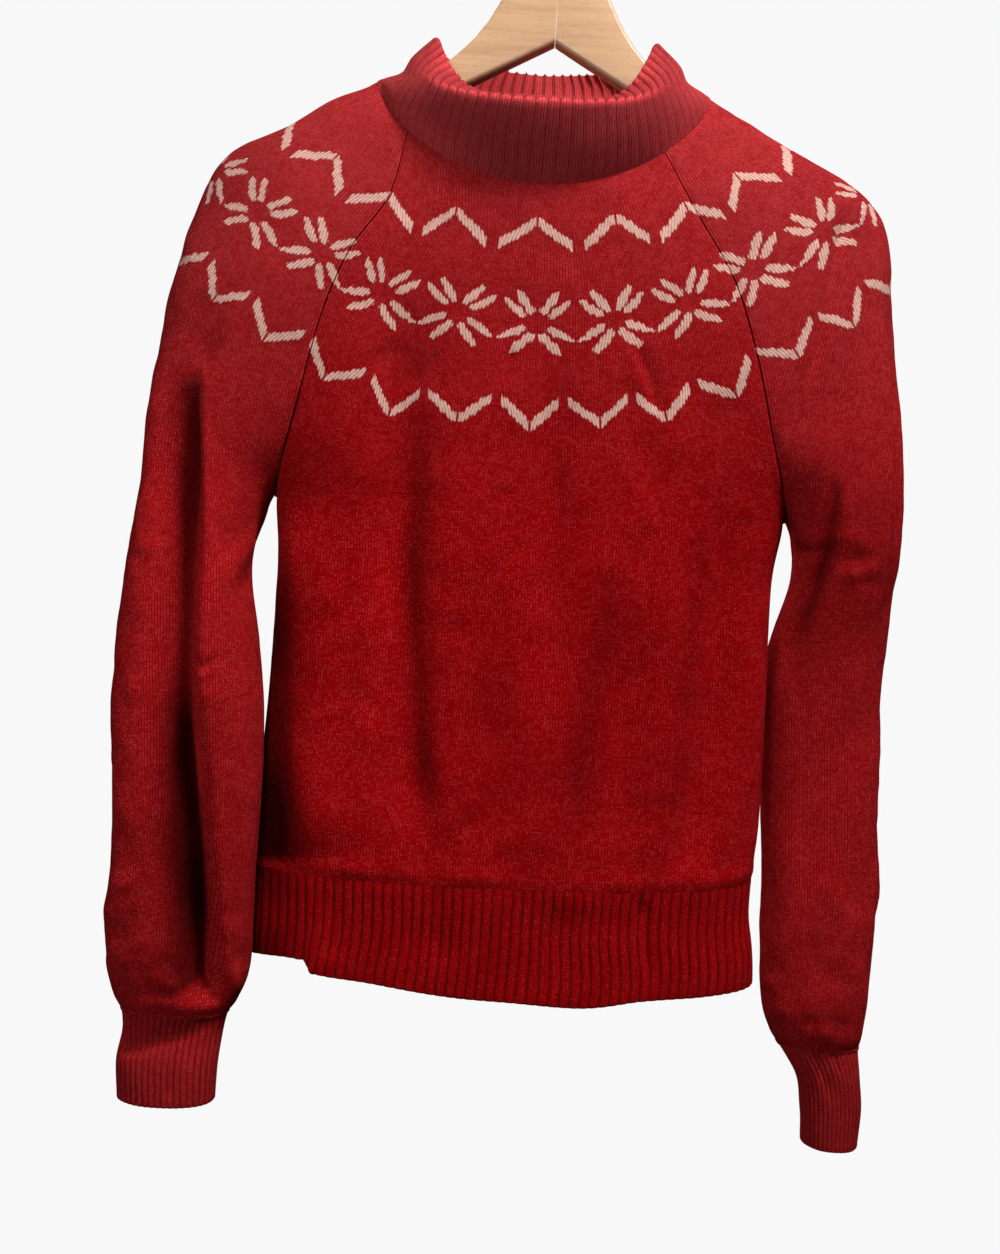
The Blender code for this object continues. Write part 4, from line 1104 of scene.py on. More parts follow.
MOTIF_GAPS = {"zigzag_upper": (0.7, 20.7, 0.0), "stars": (0.9, 30.0, 2.3), "zigzag_lower": (0.7, 19.1, 0.0)}
MOTIF_WIDTH = {"zigzag_upper": 48.5, "stars": 49.0, "zigzag_lower": 44.5}
STROKE_SLANT = 0.3           # a colour stitch leans this far outward, in mm for each mm
STROKE_PITCH = 1.8
STROKE_UNEVEN, STROKE_BITE, STROKE_ROUND = 1.3, 0.9, 0.7      # mm: a stroke's uneven reach and round sides
MOTIF_EDGE = 0.45            # mm either side of a motif's edge over which it softens
PAINTED_SHEEN_HEIGHTS = (-0.44, -0.16)          # m, heights between which the painted sheen grows to its full share towards the shoulders
PAINTED_SHEEN_CONTRAST, PAINTED_SHEEN_START = 3.0, 0.65
# Painted sheen: how far each piece's red is paled towards the pale sheen colour, standing in for light caught
# by fuzz
PANEL_PAINTED_SHEEN, SLEEVE_PAINTED_SHEEN, COLLAR_PAINTED_SHEEN, HEM_PAINTED_SHEEN, CUFF_PAINTED_SHEEN, CUFF_PAINTED_BRIGHTNESS = 0.015, 0.09, 0.44, 0.02, 0.18, 1.2
FUZZ_ROUGHNESS, FUZZ_HEIGHT = 0.4, 0.6
# Noises, each with its scale, detail and roughness
FUZZ, PATCHES, CLUSTERS = (1100.0, 2.0, 0.7), (22.0, 2.0, 0.5), (150.0, 3.0, 0.6)
STRANDS, GRAIN, RAYS, WIRE_MARKS = (1500.0, 3.0, 0.7), (1.0, 4.0, 0.6), (1.0, 1.0, 0.5), (420.0, 3.0, 0.6)
GRAIN_SCALE, RAY_SCALE = (9.0, 160.0, 160.0), (160.0, 1100.0, 1100.0)
GRAIN_RELIEF, WIRE_RELIEF = 0.00012, 0.00003      # m


def knit_surface(finish, across, down):
    """Height of the stitches and a random number for each; across counts wales and down counts rows."""
    wale = finish.math("FLOOR", across)
    arm = abs((across - wale) * 2 - 1)
    lifted = down + arm * STITCH_SLANT
    row = finish.math("FLOOR", lifted)
    loop = (lifted - row) * 2 - 1
    leg = arm * 2 - 1
    height = (1 - loop * loop * 0.6) * (1 - leg * leg * 0.5) * (1 - arm ** 3 * 0.75)
    return height, finish.speck(wale, row)


def bar_distance(finish, x, y, bar):
    """Distance from a bar's middle line, less half its width."""
    run, fall = bar.to_x - bar.from_x, bar.to_y - bar.from_y
    length = run * run + fall * fall
    start = (bar.from_x * run + bar.from_y * fall) / length
    along = finish.math("SUBTRACT", x * (run / length) + y * (fall / length), start, clamp=True)
    off_x = x - bar.from_x - along * run
    off_y = y - bar.from_y - along * fall
    half = bar.start + along * (bar.end - bar.start) + along * (1 - along) * BAR_SWELL
    return finish.math("SQRT", off_x * off_x + off_y * off_y) - half


def motif_mask(finish, name):
    """Where one ring's motifs lie, and the place across each colour stitch, from -1 to 1."""
    ring = finish.uv(name)
    phase, y = finish.axis(ring, "X"), finish.axis(ring, "Y")
    number = finish.math("ROUND", phase)
    out, slant = abs(phase - number) * MOTIF_WIDTH[name], abs(y) * STROKE_SLANT
    strokes = (out - slant) / STROKE_PITCH
    whole = finish.math("FLOOR", strokes)
    side = (strokes - whole) * 2 - 1
    x = (whole + 0.5) * STROKE_PITCH + slant
    distance = finish.extreme("MINIMUM", [bar_distance(finish, x, y, bar) for bar in MOTIF_BARS[name]])
    uneven = finish.speck(whole, number) * STROKE_UNEVEN - STROKE_BITE
    distance = distance + uneven + side * side * STROKE_ROUND
    near, far, between = MOTIF_GAPS[name]
    distance = finish.math("MAXIMUM", distance, finish.math("MAXIMUM", near - out, out - far) * 2)
    if between:
        distance = finish.math("MAXIMUM", distance, between - abs(y))
    return 1 - finish.step(-MOTIF_EDGE, MOTIF_EDGE, distance), side


def yarn_colour(finish, yarn, light, place, painted_sheen):
    """The red yarn, with painted shade between its strands and painted highlights on its raised ones, varied
    at random, and paled by a painted sheen towards the shoulders.
    """
    red = finish.mix(tuple(yarn.shade), tuple(yarn.red), finish.step(0.05, 0.55, light))
    red = finish.mix(red, tuple(yarn.fleck), finish.step(0.7, 1.3, light))
    height = finish.step(*PAINTED_SHEEN_HEIGHTS, finish.axis(place, "Z"))
    share = (height * yarn.shoulder_painted_sheen + painted_sheen) * (light * PAINTED_SHEEN_CONTRAST - PAINTED_SHEEN_START)
    return finish.mix(red, tuple(yarn.painted_sheen), share)


def woolly(finish, colour, height, knit, yarn):
    """Gives a finish the matt, slightly fuzzy surface of wool."""
    finish.set(base_color=colour, roughness=1.0, specular_ior_level=0.0, sheen_weight=yarn.sheen,
               sheen_roughness=FUZZ_ROUGHNESS, sheen_tint=tuple(yarn.sheen_tint),
               normal=finish.bump(height, knit.stitch_relief))
    return finish.material


def wool(name, knit, yarn, painted_sheen):
    """Plain knit in red yarn, with the yoke's cream motifs."""
    finish = Finish(name)
    stitch = finish.uv("stitch")
    share, rows = finish.axis(stitch, "X"), finish.axis(stitch, "Y")
    count = finish.math("ROUND", finish.mark("gauge") / GAUGE_STEP) * GAUGE_STEP
    height, fleck = knit_surface(finish, share * count, rows)
    place = finish.place()
    fuzz, patch, cluster = (finish.noise(place, *noise) for noise in (FUZZ, PATCHES, CLUSTERS))
    # Painted light on each stitch: raised strands lighter, the spaces between darker, varied at random
    light = height * (fleck * 0.45 + cluster * 0.6 + 0.52) + fuzz * 0.3 - 0.12
    red = yarn_colour(finish, yarn, light, place, painted_sheen)
    masks, strands = [], []
    for ring in MOTIF_BARS:
        mask, side = motif_mask(finish, ring)
        masks.append(mask)
        strands.append(1 - side * side * mask)
    cream_mask, strand = finish.extreme("MAXIMUM", masks), finish.extreme("MINIMUM", strands)
    # Painted light across each colour stitch: lighter at its middle, painted shade at its sides, varied by
    # fuzz and at random
    cream_painted_light = strand * 0.55 + fuzz * 0.6 + fleck * 0.3 - 0.3
    cream = finish.mix(tuple(yarn.cream_shade), tuple(yarn.cream), finish.step(0.05, 0.75, cream_painted_light))
    # Random broad patches, then the stored painted shade
    colour = finish.scaled(finish.mix(red, cream, cream_mask * 0.96),
                           (patch * 0.3 + 0.85) * (1 - finish.mark("shade")))
    height = height + cream_mask * strand * 0.6
    return woolly(finish, colour, height + fuzz * FUZZ_HEIGHT, knit, yarn)


def rib_wool(name, knit, yarn, painted_sheen, painted_brightness=1.0):
    """Ribbed knit, with painted shade that darkens the yarn in the furrows between the ribs, and a painted
    brightness that scales its colour.
    """
    finish = Finish(name)
    rib = finish.uv("rib")
    phase, rows = finish.axis(rib, "X"), finish.axis(rib, "Y")
    height, fleck = knit_surface(finish, phase * RIB_WALES, rows)
    furrow_shade = finish.step(0.5, 1.0, abs(finish.part(phase) * 2 - 1)) * finish.mark("relief")
    place = finish.place()
    fuzz, patch = (finish.noise(place, *noise) for noise in (FUZZ, PATCHES))
    # Painted light on each stitch: raised strands lighter, the spaces between darker, varied at random
    light = height * (fleck * 0.4 + 0.6) + fuzz * 0.5 - 0.1
    red = yarn_colour(finish, yarn, light, place, painted_sheen)
    shade = (patch * 0.34 + 0.83) * (1 - furrow_shade * 0.5) * (1 - finish.mark("shade")) * painted_brightness
    return woolly(finish, finish.scaled(red, shade), height + fuzz * FUZZ_HEIGHT, knit, yarn)


def seam_yarn(name, knit, yarn):
    """A linking yarn, twisted along each stitch."""
    finish = Finish(name)
    fuzz = finish.noise(finish.place(), *STRANDS)
    red = finish.mix(tuple(yarn.shade), tuple(yarn.fleck), finish.step(0.3, 0.8, fuzz))
    return woolly(finish, red, fuzz, knit, yarn)


def beech(name, wood, turn):
    """Satin beech whose grain runs along an arm; turn is the arm's slope in radians."""
    finish = Finish(name)

    def drawn_out(scale, noise):
        turned = finish.node("ShaderNodeMapping", None,
                             {"Vector": finish.place(), "Rotation": (0.0, turn, 0.0), "Scale": scale})
        return finish.noise(turned, *noise)

    grain = drawn_out(GRAIN_SCALE, GRAIN)
    ray = finish.step(0.62, 0.72, drawn_out(RAY_SCALE, RAYS))
    colour = finish.mix(tuple(wood.light), tuple(wood.dark), finish.step(0.35, 0.75, grain))
    colour = finish.mix(colour, tuple(wood.ray), ray * 0.45)
    finish.set(base_color=colour, roughness=grain * 0.15 + 0.32, coat_weight=0.25, coat_roughness=0.25,
               normal=finish.bump(grain + ray * 0.3, GRAIN_RELIEF))
    return finish.material


def plated_steel(name, metal):
    """Bright plated wire with faint drawing marks."""
    finish = Finish(name)
    marks = finish.noise(finish.place(), *WIRE_MARKS)
    finish.set(base_color=finish.mix(tuple(metal.dull), tuple(metal.bright), marks), metallic=1.0,
               roughness=marks * 0.14 + 0.12, normal=finish.bump(marks, WIRE_RELIEF))
    return finish.material


# ---------------------------------------------------------------- repeated relief and stitches

def new_tree(name, sizes):
    """A Geometry Nodes group with a Geometry input, named size inputs and a Geometry output."""
    group = bpy.data.node_groups.new(name, "GeometryNodeTree")
    group.interface.new_socket("Geometry", in_out="INPUT", socket_type="NodeSocketGeometry")
    for label, kind in sizes.items():
        group.interface.new_socket(label, in_out="INPUT", socket_type="NodeSocket" + kind)
    group.interface.new_socket("Geometry", in_out="OUTPUT", socket_type="NodeSocketGeometry")
    tree = Tree(group)
    given = tree.nodes.new("NodeGroupInput")
    return group, tree, {socket.name: Value(tree, socket) for socket in given.outputs if socket.name}


def finish_tree(tree, geometry, material):
    real = tree.node("GeometryNodeRealizeInstances", None, {"Geometry": geometry})
    done = tree.node("GeometryNodeSetMaterial", None, {"Geometry": real, "Material": material})
    last = tree.nodes.new("NodeGroupOutput")
    tree.feed(last.inputs["Geometry"], done)


def rib_tree():
    """Pushes cloth out and in along its stored outward direction, in rounded ribs."""
    sizes = {"Height": "Float", "Fullness": "Float", "Yarn": "Material"}
    group, tree, given = new_tree("Knitted ribs", sizes)
    off = abs(tree.part(tree.stored("phase")) * 2 - 1)
    height = (0.5 - off ** given["Fullness"]) * tree.stored("relief") * given["Height"]
    offset = tree.scaled(tree.stored("outward", "FLOAT_VECTOR"), height)
    moved = tree.node("GeometryNodeSetPosition", None, {"Geometry": given["Geometry"], "Offset": offset})
    finish_tree(tree, moved, given["Yarn"])
    return group


def chain_tree():
    """Lays a chain of slanted stitches, two to a link, along a line that stores its outward direction."""
    sizes = {"Pitch": "Float", "Thickness": "Float", "Spread": "Float", "Lean": "Float", "Yarn": "Material"}
    group, tree, given = new_tree("Chain stitches", sizes)
    line = tree.node("GeometryNodeMeshToCurve", None, {"Mesh": given["Geometry"]})
    line = tree.node("GeometryNodeResampleCurve", {"mode": "LENGTH"},
                     {"Curve": line, "Length": given["Pitch"]})
    ahead = tree.node("GeometryNodeInputTangent")
    turn = tree.node("FunctionNodeAxesToRotation", {"primary_axis": "Z", "secondary_axis": "X"},
                     {"Primary Axis": tree.stored("outward", "FLOAT_VECTOR"), "Secondary Axis": ahead})
    bead = tree.node("GeometryNodeMeshUVSphere", None, {"Segments": 6, "Rings": 5, "Radius": 0.5})
    bead = tree.node("GeometryNodeSetShadeSmooth", None, {"Geometry": bead})
    arms = []
    for side in (-1.0, 1.0):
        lean = tree.vector(0.0, 0.0, given["Lean"] * side)
        arm = tree.node("GeometryNodeTransform", None, {
            "Geometry": bead, "Rotation": tree.node("FunctionNodeEulerToRotation", None, {"Euler": lean}),
            "Translation": tree.vector(0.0, given["Spread"] * side, 0.0),
            "Scale": tree.vector(given["Pitch"] * SEAM_OVERLAP, given["Thickness"], given["Thickness"])})
        arms.append(arm)
    link = tree.nodes.new("GeometryNodeJoinGeometry")
    for arm in arms:
        tree.feed(link.inputs["Geometry"], arm)
    chain = tree.node("GeometryNodeInstanceOnPoints", None,
                      {"Points": line, "Instance": Value(tree, link.outputs[0]), "Rotation": turn})
    finish_tree(tree, chain, given["Yarn"])
    return group


def grown(name, data, group, values):
    """Runs a mesh through a node group and returns the result as a plain mesh."""
    holder = linked(name + "_form", data)
    growth = holder.modifiers.new(group.name, "NODES")
    growth.node_group = group
    for socket in group.interface.items_tree:
        if socket.in_out == "INPUT" and socket.name in values:
            growth[socket.identifier] = values[socket.name]
    made = evaluated(holder)
    made.name = name
    bpy.data.meshes.remove(data)
    return made


# ---------------------------------------------------------------- the motifs' rings

def ring_offset(ring, grid):
    """Distance outside a motif ring and the angle round it, as seen from the front."""
    x, drop = grid[..., 0] - ring.x, -grid[..., 2] - ring.drop
    degrees = np.degrees(np.arctan2(x, drop))
    within = np.clip(degrees, ring.places[0].degrees, ring.places[-1].degrees)
    return np.hypot(x, drop) - column(ring.places, "radius", "degrees", within), degrees


def ring_crossings(ring, grid):
    """Where each column of a grid crosses a ring."""
    off, _ = ring_offset(ring, grid)
    row = np.maximum(np.argmax(off > 0, axis=0), 1)
    here = np.arange(grid.shape[1])
    before, after = off[row - 1, here], off[row, here]
    part = (before / (before - after))[:, None]
    return grid[row - 1, here] * (1 - part) + grid[row, here] * part


def motif_maps(forms):
    """For each yoke piece, its ring maps: motifs counted round the yoke, and mm outside each ring.

    The count starts at the left back raglan seam, goes over the left shoulder and across the front.
    """
    order = [("sleeve_left", -1), ("front", 1), ("sleeve_right", 1), ("back", -1)]
    maps = {name: {} for name, _ in order}
    for label, ring in MOTIF_RINGS.items():
        stretches, lines, start = {}, [], 0
        for name, way in order:
            crossings = ring_crossings(ring, forms[name])[::way]
            stretches[name] = (start, start + len(crossings))
            start += len(crossings)
            lines.append(crossings)
        line = np.concatenate(lines)
        steps = np.linalg.norm(np.diff(line, axis=0, append=line[:1]), axis=1)
        distance = np.concatenate([[0], np.cumsum(steps)[:-1]])
        total = steps.sum()
        _, degrees = ring_offset(ring, line)
        first, last = np.argmin(degrees), np.argmax(degrees)
        places = np.interp([place.degrees for place in ring.places], degrees[first:last + 1],
                           distance[first:last + 1])
        shown = len(places) - 1
        hidden = round((total - places[-1] + places[0]) / MOTIF_WIDTH[label])
        keys = np.concatenate([[places[-1] - total], places, [places[0] + total]])
        counts = np.concatenate([[-hidden], np.arange(shown + 1), [shown + hidden]])
        count = np.interp(distance, keys, counts)
        around = shown + hidden
        line3 = np.concatenate([line, line, line])
        count3 = np.concatenate([count - around, count, count + around])
        ahead = np.roll(line, -1, axis=0) - np.roll(line, 1, axis=0)
        reach = np.linalg.norm(ahead, axis=1)
        slope = np.mod(np.roll(count, -1) - np.roll(count, 1), around) / reach
        ahead3, slope3 = np.tile(ahead / reach[:, None], (3, 1)), np.tile(slope, 3)
        for name, (low, high) in stretches.items():
            chosen = slice(len(line) + low - RING_MARGIN, len(line) + high + RING_MARGIN)
            maps[name][label] = nearest_on_ring(ring, forms[name], line3[chosen], count3[chosen],
                                                ahead3[chosen], slope3[chosen])
    return maps


def nearest_on_ring(ring, grid, line, count, ahead, slope):
    off, _ = ring_offset(ring, grid)
    found = np.empty(grid.shape[:2] + (2,))
    found[..., 1] = np.clip(off, -RING_REACH, RING_REACH)
    for i, row in enumerate(grid):
        if np.abs(off[i]).min() > RING_REACH:
            found[i, :, 0] = found[i - 1, :, 0] if i else 0.0
            continue
        gap = row[:, None, :] - line[None, :, :]
        nearest = np.argmin((gap ** 2).sum(-1), axis=1)
        gap = gap[np.arange(len(row)), nearest]
        along = (gap * ahead[nearest]).sum(-1)
        away = np.sqrt(np.maximum((gap ** 2).sum(-1) - along ** 2, 0))
        found[i, :, 0] = count[nearest] + along * slope[nearest]
        found[i, :, 1] = np.where(off[i] > 0, away, -away)
    return found


# ---------------------------------------------------------------- cloth pieces

def creases_on(name, form, normal):
    """How far a plain piece's creases sink, and its painted shade, each only on the side it is seen from."""
    x, y, drop = form[..., 0], form[..., 1], -form[..., 2]
    if name == "front":
        return crease_depth(FRONT_CREASES + YOKE_CREASES, x, drop), crease_depth(FRONT_SHADES, x, drop)
    if name == "back":
        return crease_depth(BACK_CREASES, x, drop), 0.0 * x
    tables = SLEEVE_CREASES[name]
    before, behind = (smooth_step(*PLAIN_SEEN, facing * normal[..., 1]) for facing in (-1, 1))
    beside = smooth_step(*OUTER_SEEN, tables.side * normal[..., 0])
    sunk = (crease_depth(tables.front, x, drop) * before + crease_depth(tables.back, x, drop) * behind
            + crease_depth(tables.outer, y, drop) * beside)
    return sunk, crease_depth(tables.shades, x, drop) * before


def plain_cloth(name, form, maps, knit):
    """A panel or a sleeve as a closed shell with its creases, its seams turned in and its foot bloused."""
    plain = PLAIN[name]
    wrap = CAP_ROWS if name in SLEEVE_CREASES else len(form)
    across, down = steps_along(form, 1), steps_along(form, 0)
    seam, foot = np.minimum(across, across[:, -1:] - across), down[-1:] - down
    share = across / across[:, -1:]
    normal = normals_of(form, wrap, plain.outward)
    sunk, shade = creases_on(name, form, normal)
    fade = (smooth_step(0, plain.seam_fade, seam) * smooth_step(0, NECK_FADE, down)
            * smooth_step(0, FOOT_FADE, foot))
    soft = uneven_cloth(plain.seed, share, down, plain.width)
    sunk = (sunk * knit.creases - soft * knit.unevenness) * fade
    bulge = blouse(share, foot, plain.seed + 10, plain.bulges, plain.bulge)
    body = form - normal * (sunk - bulge)[..., None]
    seam[wrap:] = NO_SEAM
    normal = normals_of(body, wrap, plain.outward)
    turned = (SEAM_TURN * hump(seam, SEAM_SOFTNESS) + SEAM_TURN * hump(down, SEAM_SOFTNESS)
              + FOOT_TURN * hump(foot, FOOT_SOFTNESS))
    outer = body - normal * np.minimum(turned, DEEPEST_TURN * WALL)[..., None]
    rows = np.broadcast_to(down.mean(axis=1)[:, None], share.shape) / (knit.row_height / MM)
    stitch = np.stack([share - 0.5, rows], axis=-1)
    gauge = np.broadcast_to(steps_along(body, 1)[:, -1:] / (knit.stitch_width / MM), share.shape)
    # The shade mark is painted shade, which darkens the yarn's colour in the material
    return shell(name, outer, body - normal * WALL, wrap, {"stitch": stitch, **maps},
                 {"gauge": gauge, "shade": np.minimum(shade, DEEPEST_SHADE)})


def uneven_cloth(seed, share, down, width):
    """The soft lumps of hung knitwear, in mm: broad, middling and small."""
    lumps = 0.0 * share
    for number, (size, height) in enumerate(LUMPS):
        lumps = lumps + height * ripple(100 * number + seed, share, down / size, max(3, int(width / size)))
    return lumps


def blouse(share, foot, seed, cells, height):
    """How the cloth stands out just above its rib."""
    along_rib = ripple(seed, share, 0 * foot, cells) * 0.45
    above_rib = ripple(seed + 50, share, foot / BULGE_PLACE, cells // 2) * 0.3
    return height * (1 + (along_rib + above_rib)) * hump(foot - BULGE_PLACE, BULGE_WIDTH)


def even_ring(rows, columns):
    return np.array([resample(row, np.linspace(0, 1, columns + 1)) for row in rows])


def uneven_rib(uneven, ribs, share, down):
    """How a ring of ribs varies, in soft lumps that are a few ribs wide."""
    cells = max(uneven.fewest, ribs // uneven.ribs)
    return ripple(uneven.seed + ribs, share, down / uneven.size, cells) * uneven.height


def rib_cloth(name, form, ribs, rise, group, yarn, knit):
    """A ribbed ring: form runs from its seam to its rounded edge, and ribs are pushed out of it."""
    band = BANDS[name]
    x, drop = form[..., 0], -form[..., 2]
    normal = normals_of(form, 0, band.outward)
    seen = smooth_step(*RIB_SEEN, -normal[..., 1])
    down = steps_along(form, 0)
    share = np.broadcast_to(np.linspace(0, 1, form.shape[1]), form.shape[:2])
    part = np.linspace(0, 1, len(form))[:, None]
    front = crease_depth(band.creases, x, drop) * seen
    soft = uneven_rib(RIB_LUMPS, ribs, share, down)
    turned = band.sink * hump(down, RIB_SOFTNESS)
    if band.roll:
        turned = turned * smooth_step(*SINK_SEEN, np.abs(normal[..., 0]))
    outer = form - normal * (front + turned - soft * smooth_step(0, 6, down))[..., None]
    start = outer[0] - outer[1]
    outer[0] += start * (SEAM_GAP / np.linalg.norm(start, axis=1, keepdims=True))
    inner = outer - normal * (band.wall * (1 + band.roll * smooth_step(0.5, 1.0, part)))[..., None]
    lean = uneven_rib(RIB_LEAN, ribs, share, down)
    phase = share * ribs + lean * smooth_step(0, 10, down)
    rib = np.stack([phase, down / (knit.row_height / MM)], axis=-1)
    relief = smooth_step(*RELIEF_START, down) * (1 + uneven_rib(RIB_RELIEF, ribs, share, down))
    shade = crease_depth(band.shades, x, drop) * seen
    # Painted shade from the band's shade table; the collar instead gets painted shade on its front below the
    # lip and painted light on the lip
    if band.roll:
        turned_over = smooth_step(*LIP_START, part)
        relief = relief * (COLLAR_BASE_RELIEF + (1 - COLLAR_BASE_RELIEF) * turned_over)
        lip = LIP_PAINTED_LIGHT * turned_over * (1 - smooth_step(*LIP_REACH, np.abs(x - NECK_X)))
        shade = (COLLAR_SHADE * (1 - turned_over) - lip) * smooth_step(*SHADE_SEEN, -normal[..., 1])
    marks = {"phase": phase, "relief": relief, "outward": normal, "shade": shade}
    data = band_shell(name + "_form", outer, inner, {"rib": rib}, marks)
    return grown(name, data, group, {"Height": rise, "Fullness": knit.rib_fullness, "Yarn": yarn})


def hem_form(columns):
    across = even_across(0.0)
    rings = []
    for part in np.linspace(0, 1, HEM_ROWS + 1):
        halves = []
        for facing in (-1, 1):
            top = rib_top(across, facing)
            bottom = column(HEM, "front" if facing < 0 else "back", "across", across)
            halves.append(body_half(facing, across, top + (bottom - top) * part))
        rings.append(np.concatenate([halves[0], halves[1][-2::-1]]))
    return even_ring(settle(np.array(rings), HEM_PASSES), columns)


def cuff_form(side, columns):
    table = CUFF_LEFT if side < 0 else CUFF_RIGHT
    around = np.linspace(0, 1, CUFF_STEPS + 1)
    rings = [sleeve_ring(side, table, around, np.full_like(around, drop))
             for drop in np.linspace(table[0].drop, table[-1].drop, CUFF_ROWS + 1)]
    return even_ring(rings, columns)


def seam_line(name, points, outward):
    """A closed line of points that stores the direction out of the cloth."""
    data = bpy.data.meshes.new(name)
    count = len(points)
    edges = [(i, (i + 1) % count) for i in range(count)]
    data.from_pydata((points * MM).tolist(), edges, [])
    mark = data.attributes.new("outward", "FLOAT_VECTOR", "POINT")
    mark.data.foreach_set("vector", outward.astype(np.float32).ravel())
    return data


# ---------------------------------------------------------------- hanger

def hanger_place():
    """The hanger has swung a little about the rail; its arms meet on the hook's stem."""
    return Matrix.Rotation(math.radians(HANGER_TILT), 4, "Y") @ Matrix.Translation((HOOK_OFFSET * MM, 0, 0))


def arm_mesh(name, side):
    """One arm: its outline, smoothed along the top, given its thickness and well rounded edges."""
    outline = [(max(edge.x, JOINT_GAP / 2), edge.drop) for edge in ARM_TOP + ARM_BOTTOM]
    shape = bmesh.new()
    half = ARM_THICKNESS / 2
    corners = [shape.verts.new(Vector((side * x, -half, -drop)) * MM) for x, drop in outline]
    face = shape.faces.new(corners)
    grown_face = bmesh.ops.extrude_face_region(shape, geom=[face])
    moved = [item for item in grown_face["geom"] if isinstance(item, bmesh.types.BMVert)]
    bmesh.ops.translate(shape, verts=moved, vec=(0, ARM_THICKNESS * MM, 0))
    bmesh.ops.recalc_face_normals(shape, faces=shape.faces[:])
    rims = [edge for edge in shape.edges if abs(edge.verts[0].co.y - edge.verts[1].co.y) < half * MM
            and max(abs(vert.co.x) for vert in edge.verts) > JOINT_GAP * MM]
    bmesh.ops.bevel(shape, geom=rims, offset=ARM_ROUNDING * MM, segments=4, profile=0.5, affect="EDGES")
    shape.transform(hanger_place())
    return smooth(mesh_from(shape, name), ARM_SHARP_ANGLE)


def hook_mesh(name):
    """The wire: up out of the crest and round to the open tip."""
    reach = HOOK_RADIUS + HOOK_WIRE / 2
    crest = -ARM_TOP[0].drop
    stem = [(HOOK_OFFSET, crest - HOOK_STEM), (HOOK_OFFSET, crest), (HOOK_OFFSET, crest + HOOK_STEM)]
    turns = [math.radians(HOOK_START + HOOK_SWEEP * step / HOOK_STEPS) for step in range(HOOK_STEPS + 1)]
    route = stem + [(reach * math.cos(turn), reach * math.sin(turn) - HOOK_RADIUS) for turn in turns]
    curve = bpy.data.curves.new(name, "CURVE")
    curve.dimensions = "3D"
    curve.bevel_depth = HOOK_WIRE / 2 * MM
    curve.bevel_resolution = 6
    curve.use_fill_caps = True
    wire = curve.splines.new("POLY")
    wire.points.add(len(route) - 1)
    for spline_point, (x, z) in zip(wire.points, route):
        spline_point.co = (x * MM, 0.0, z * MM, 1.0)
    data = evaluated(linked(name, curve))
    shape = bmesh.new()
    shape.from_mesh(data)
    bmesh.ops.remove_doubles(shape, verts=shape.verts[:], dist=1e-6)
    shape.transform(Matrix.Rotation(math.radians(HANGER_TILT), 4, "Y"))
    shape.to_mesh(data)
    shape.free()
    return smooth(data, WIRE_SHARP_ANGLE)


# ---------------------------------------------------------------- settings

class PulloverKnit(PropertyGroup):
    """Sizes of the knitting."""
    stitch_width: FloatProperty(name="Stitch width", description="Width of one stitch", default=0.0018,
                                unit="LENGTH", precision=4)
    row_height: FloatProperty(name="Row height", description="Height of one row", default=0.0014,
                              unit="LENGTH", precision=4)
    stitch_relief: FloatProperty(name="Stitch relief", description="How far the stitches stand out",
                                 default=0.0005, unit="LENGTH", precision=4)
    creases: FloatProperty(name="Creases", description="Depth of the creases as a share of their tables",
                           default=1.0, min=0.0, max=1.5)
    unevenness: FloatProperty(name="Unevenness", description="Depth of the cloth's soft lumps",
                              default=1.0, min=0.0, max=3.0)
    collar_ribs: IntProperty(name="Collar ribs", description="Ribs round the collar", default=66, min=12)
    hem_ribs: IntProperty(name="Hem ribs", description="Ribs round the hem", default=114, min=12)
    cuff_ribs: IntProperty(name="Cuff ribs", description="Ribs round a cuff", default=40, min=8)
    collar_rise: FloatProperty(name="Collar rib height", description="Furrow to ridge on the collar",
                               default=0.0019, unit="LENGTH", precision=4)
    hem_rise: FloatProperty(name="Hem rib height", description="Furrow to ridge on the hem",
                            default=0.0014, unit="LENGTH", precision=4)
    cuff_rise: FloatProperty(name="Cuff rib height", description="Furrow to ridge on a cuff",
                             default=0.0010, unit="LENGTH", precision=4)
    rib_fullness: FloatProperty(name="Rib fullness", description="How flat a rib's ridge is",
                                default=4.0, min=1.0, max=8.0)


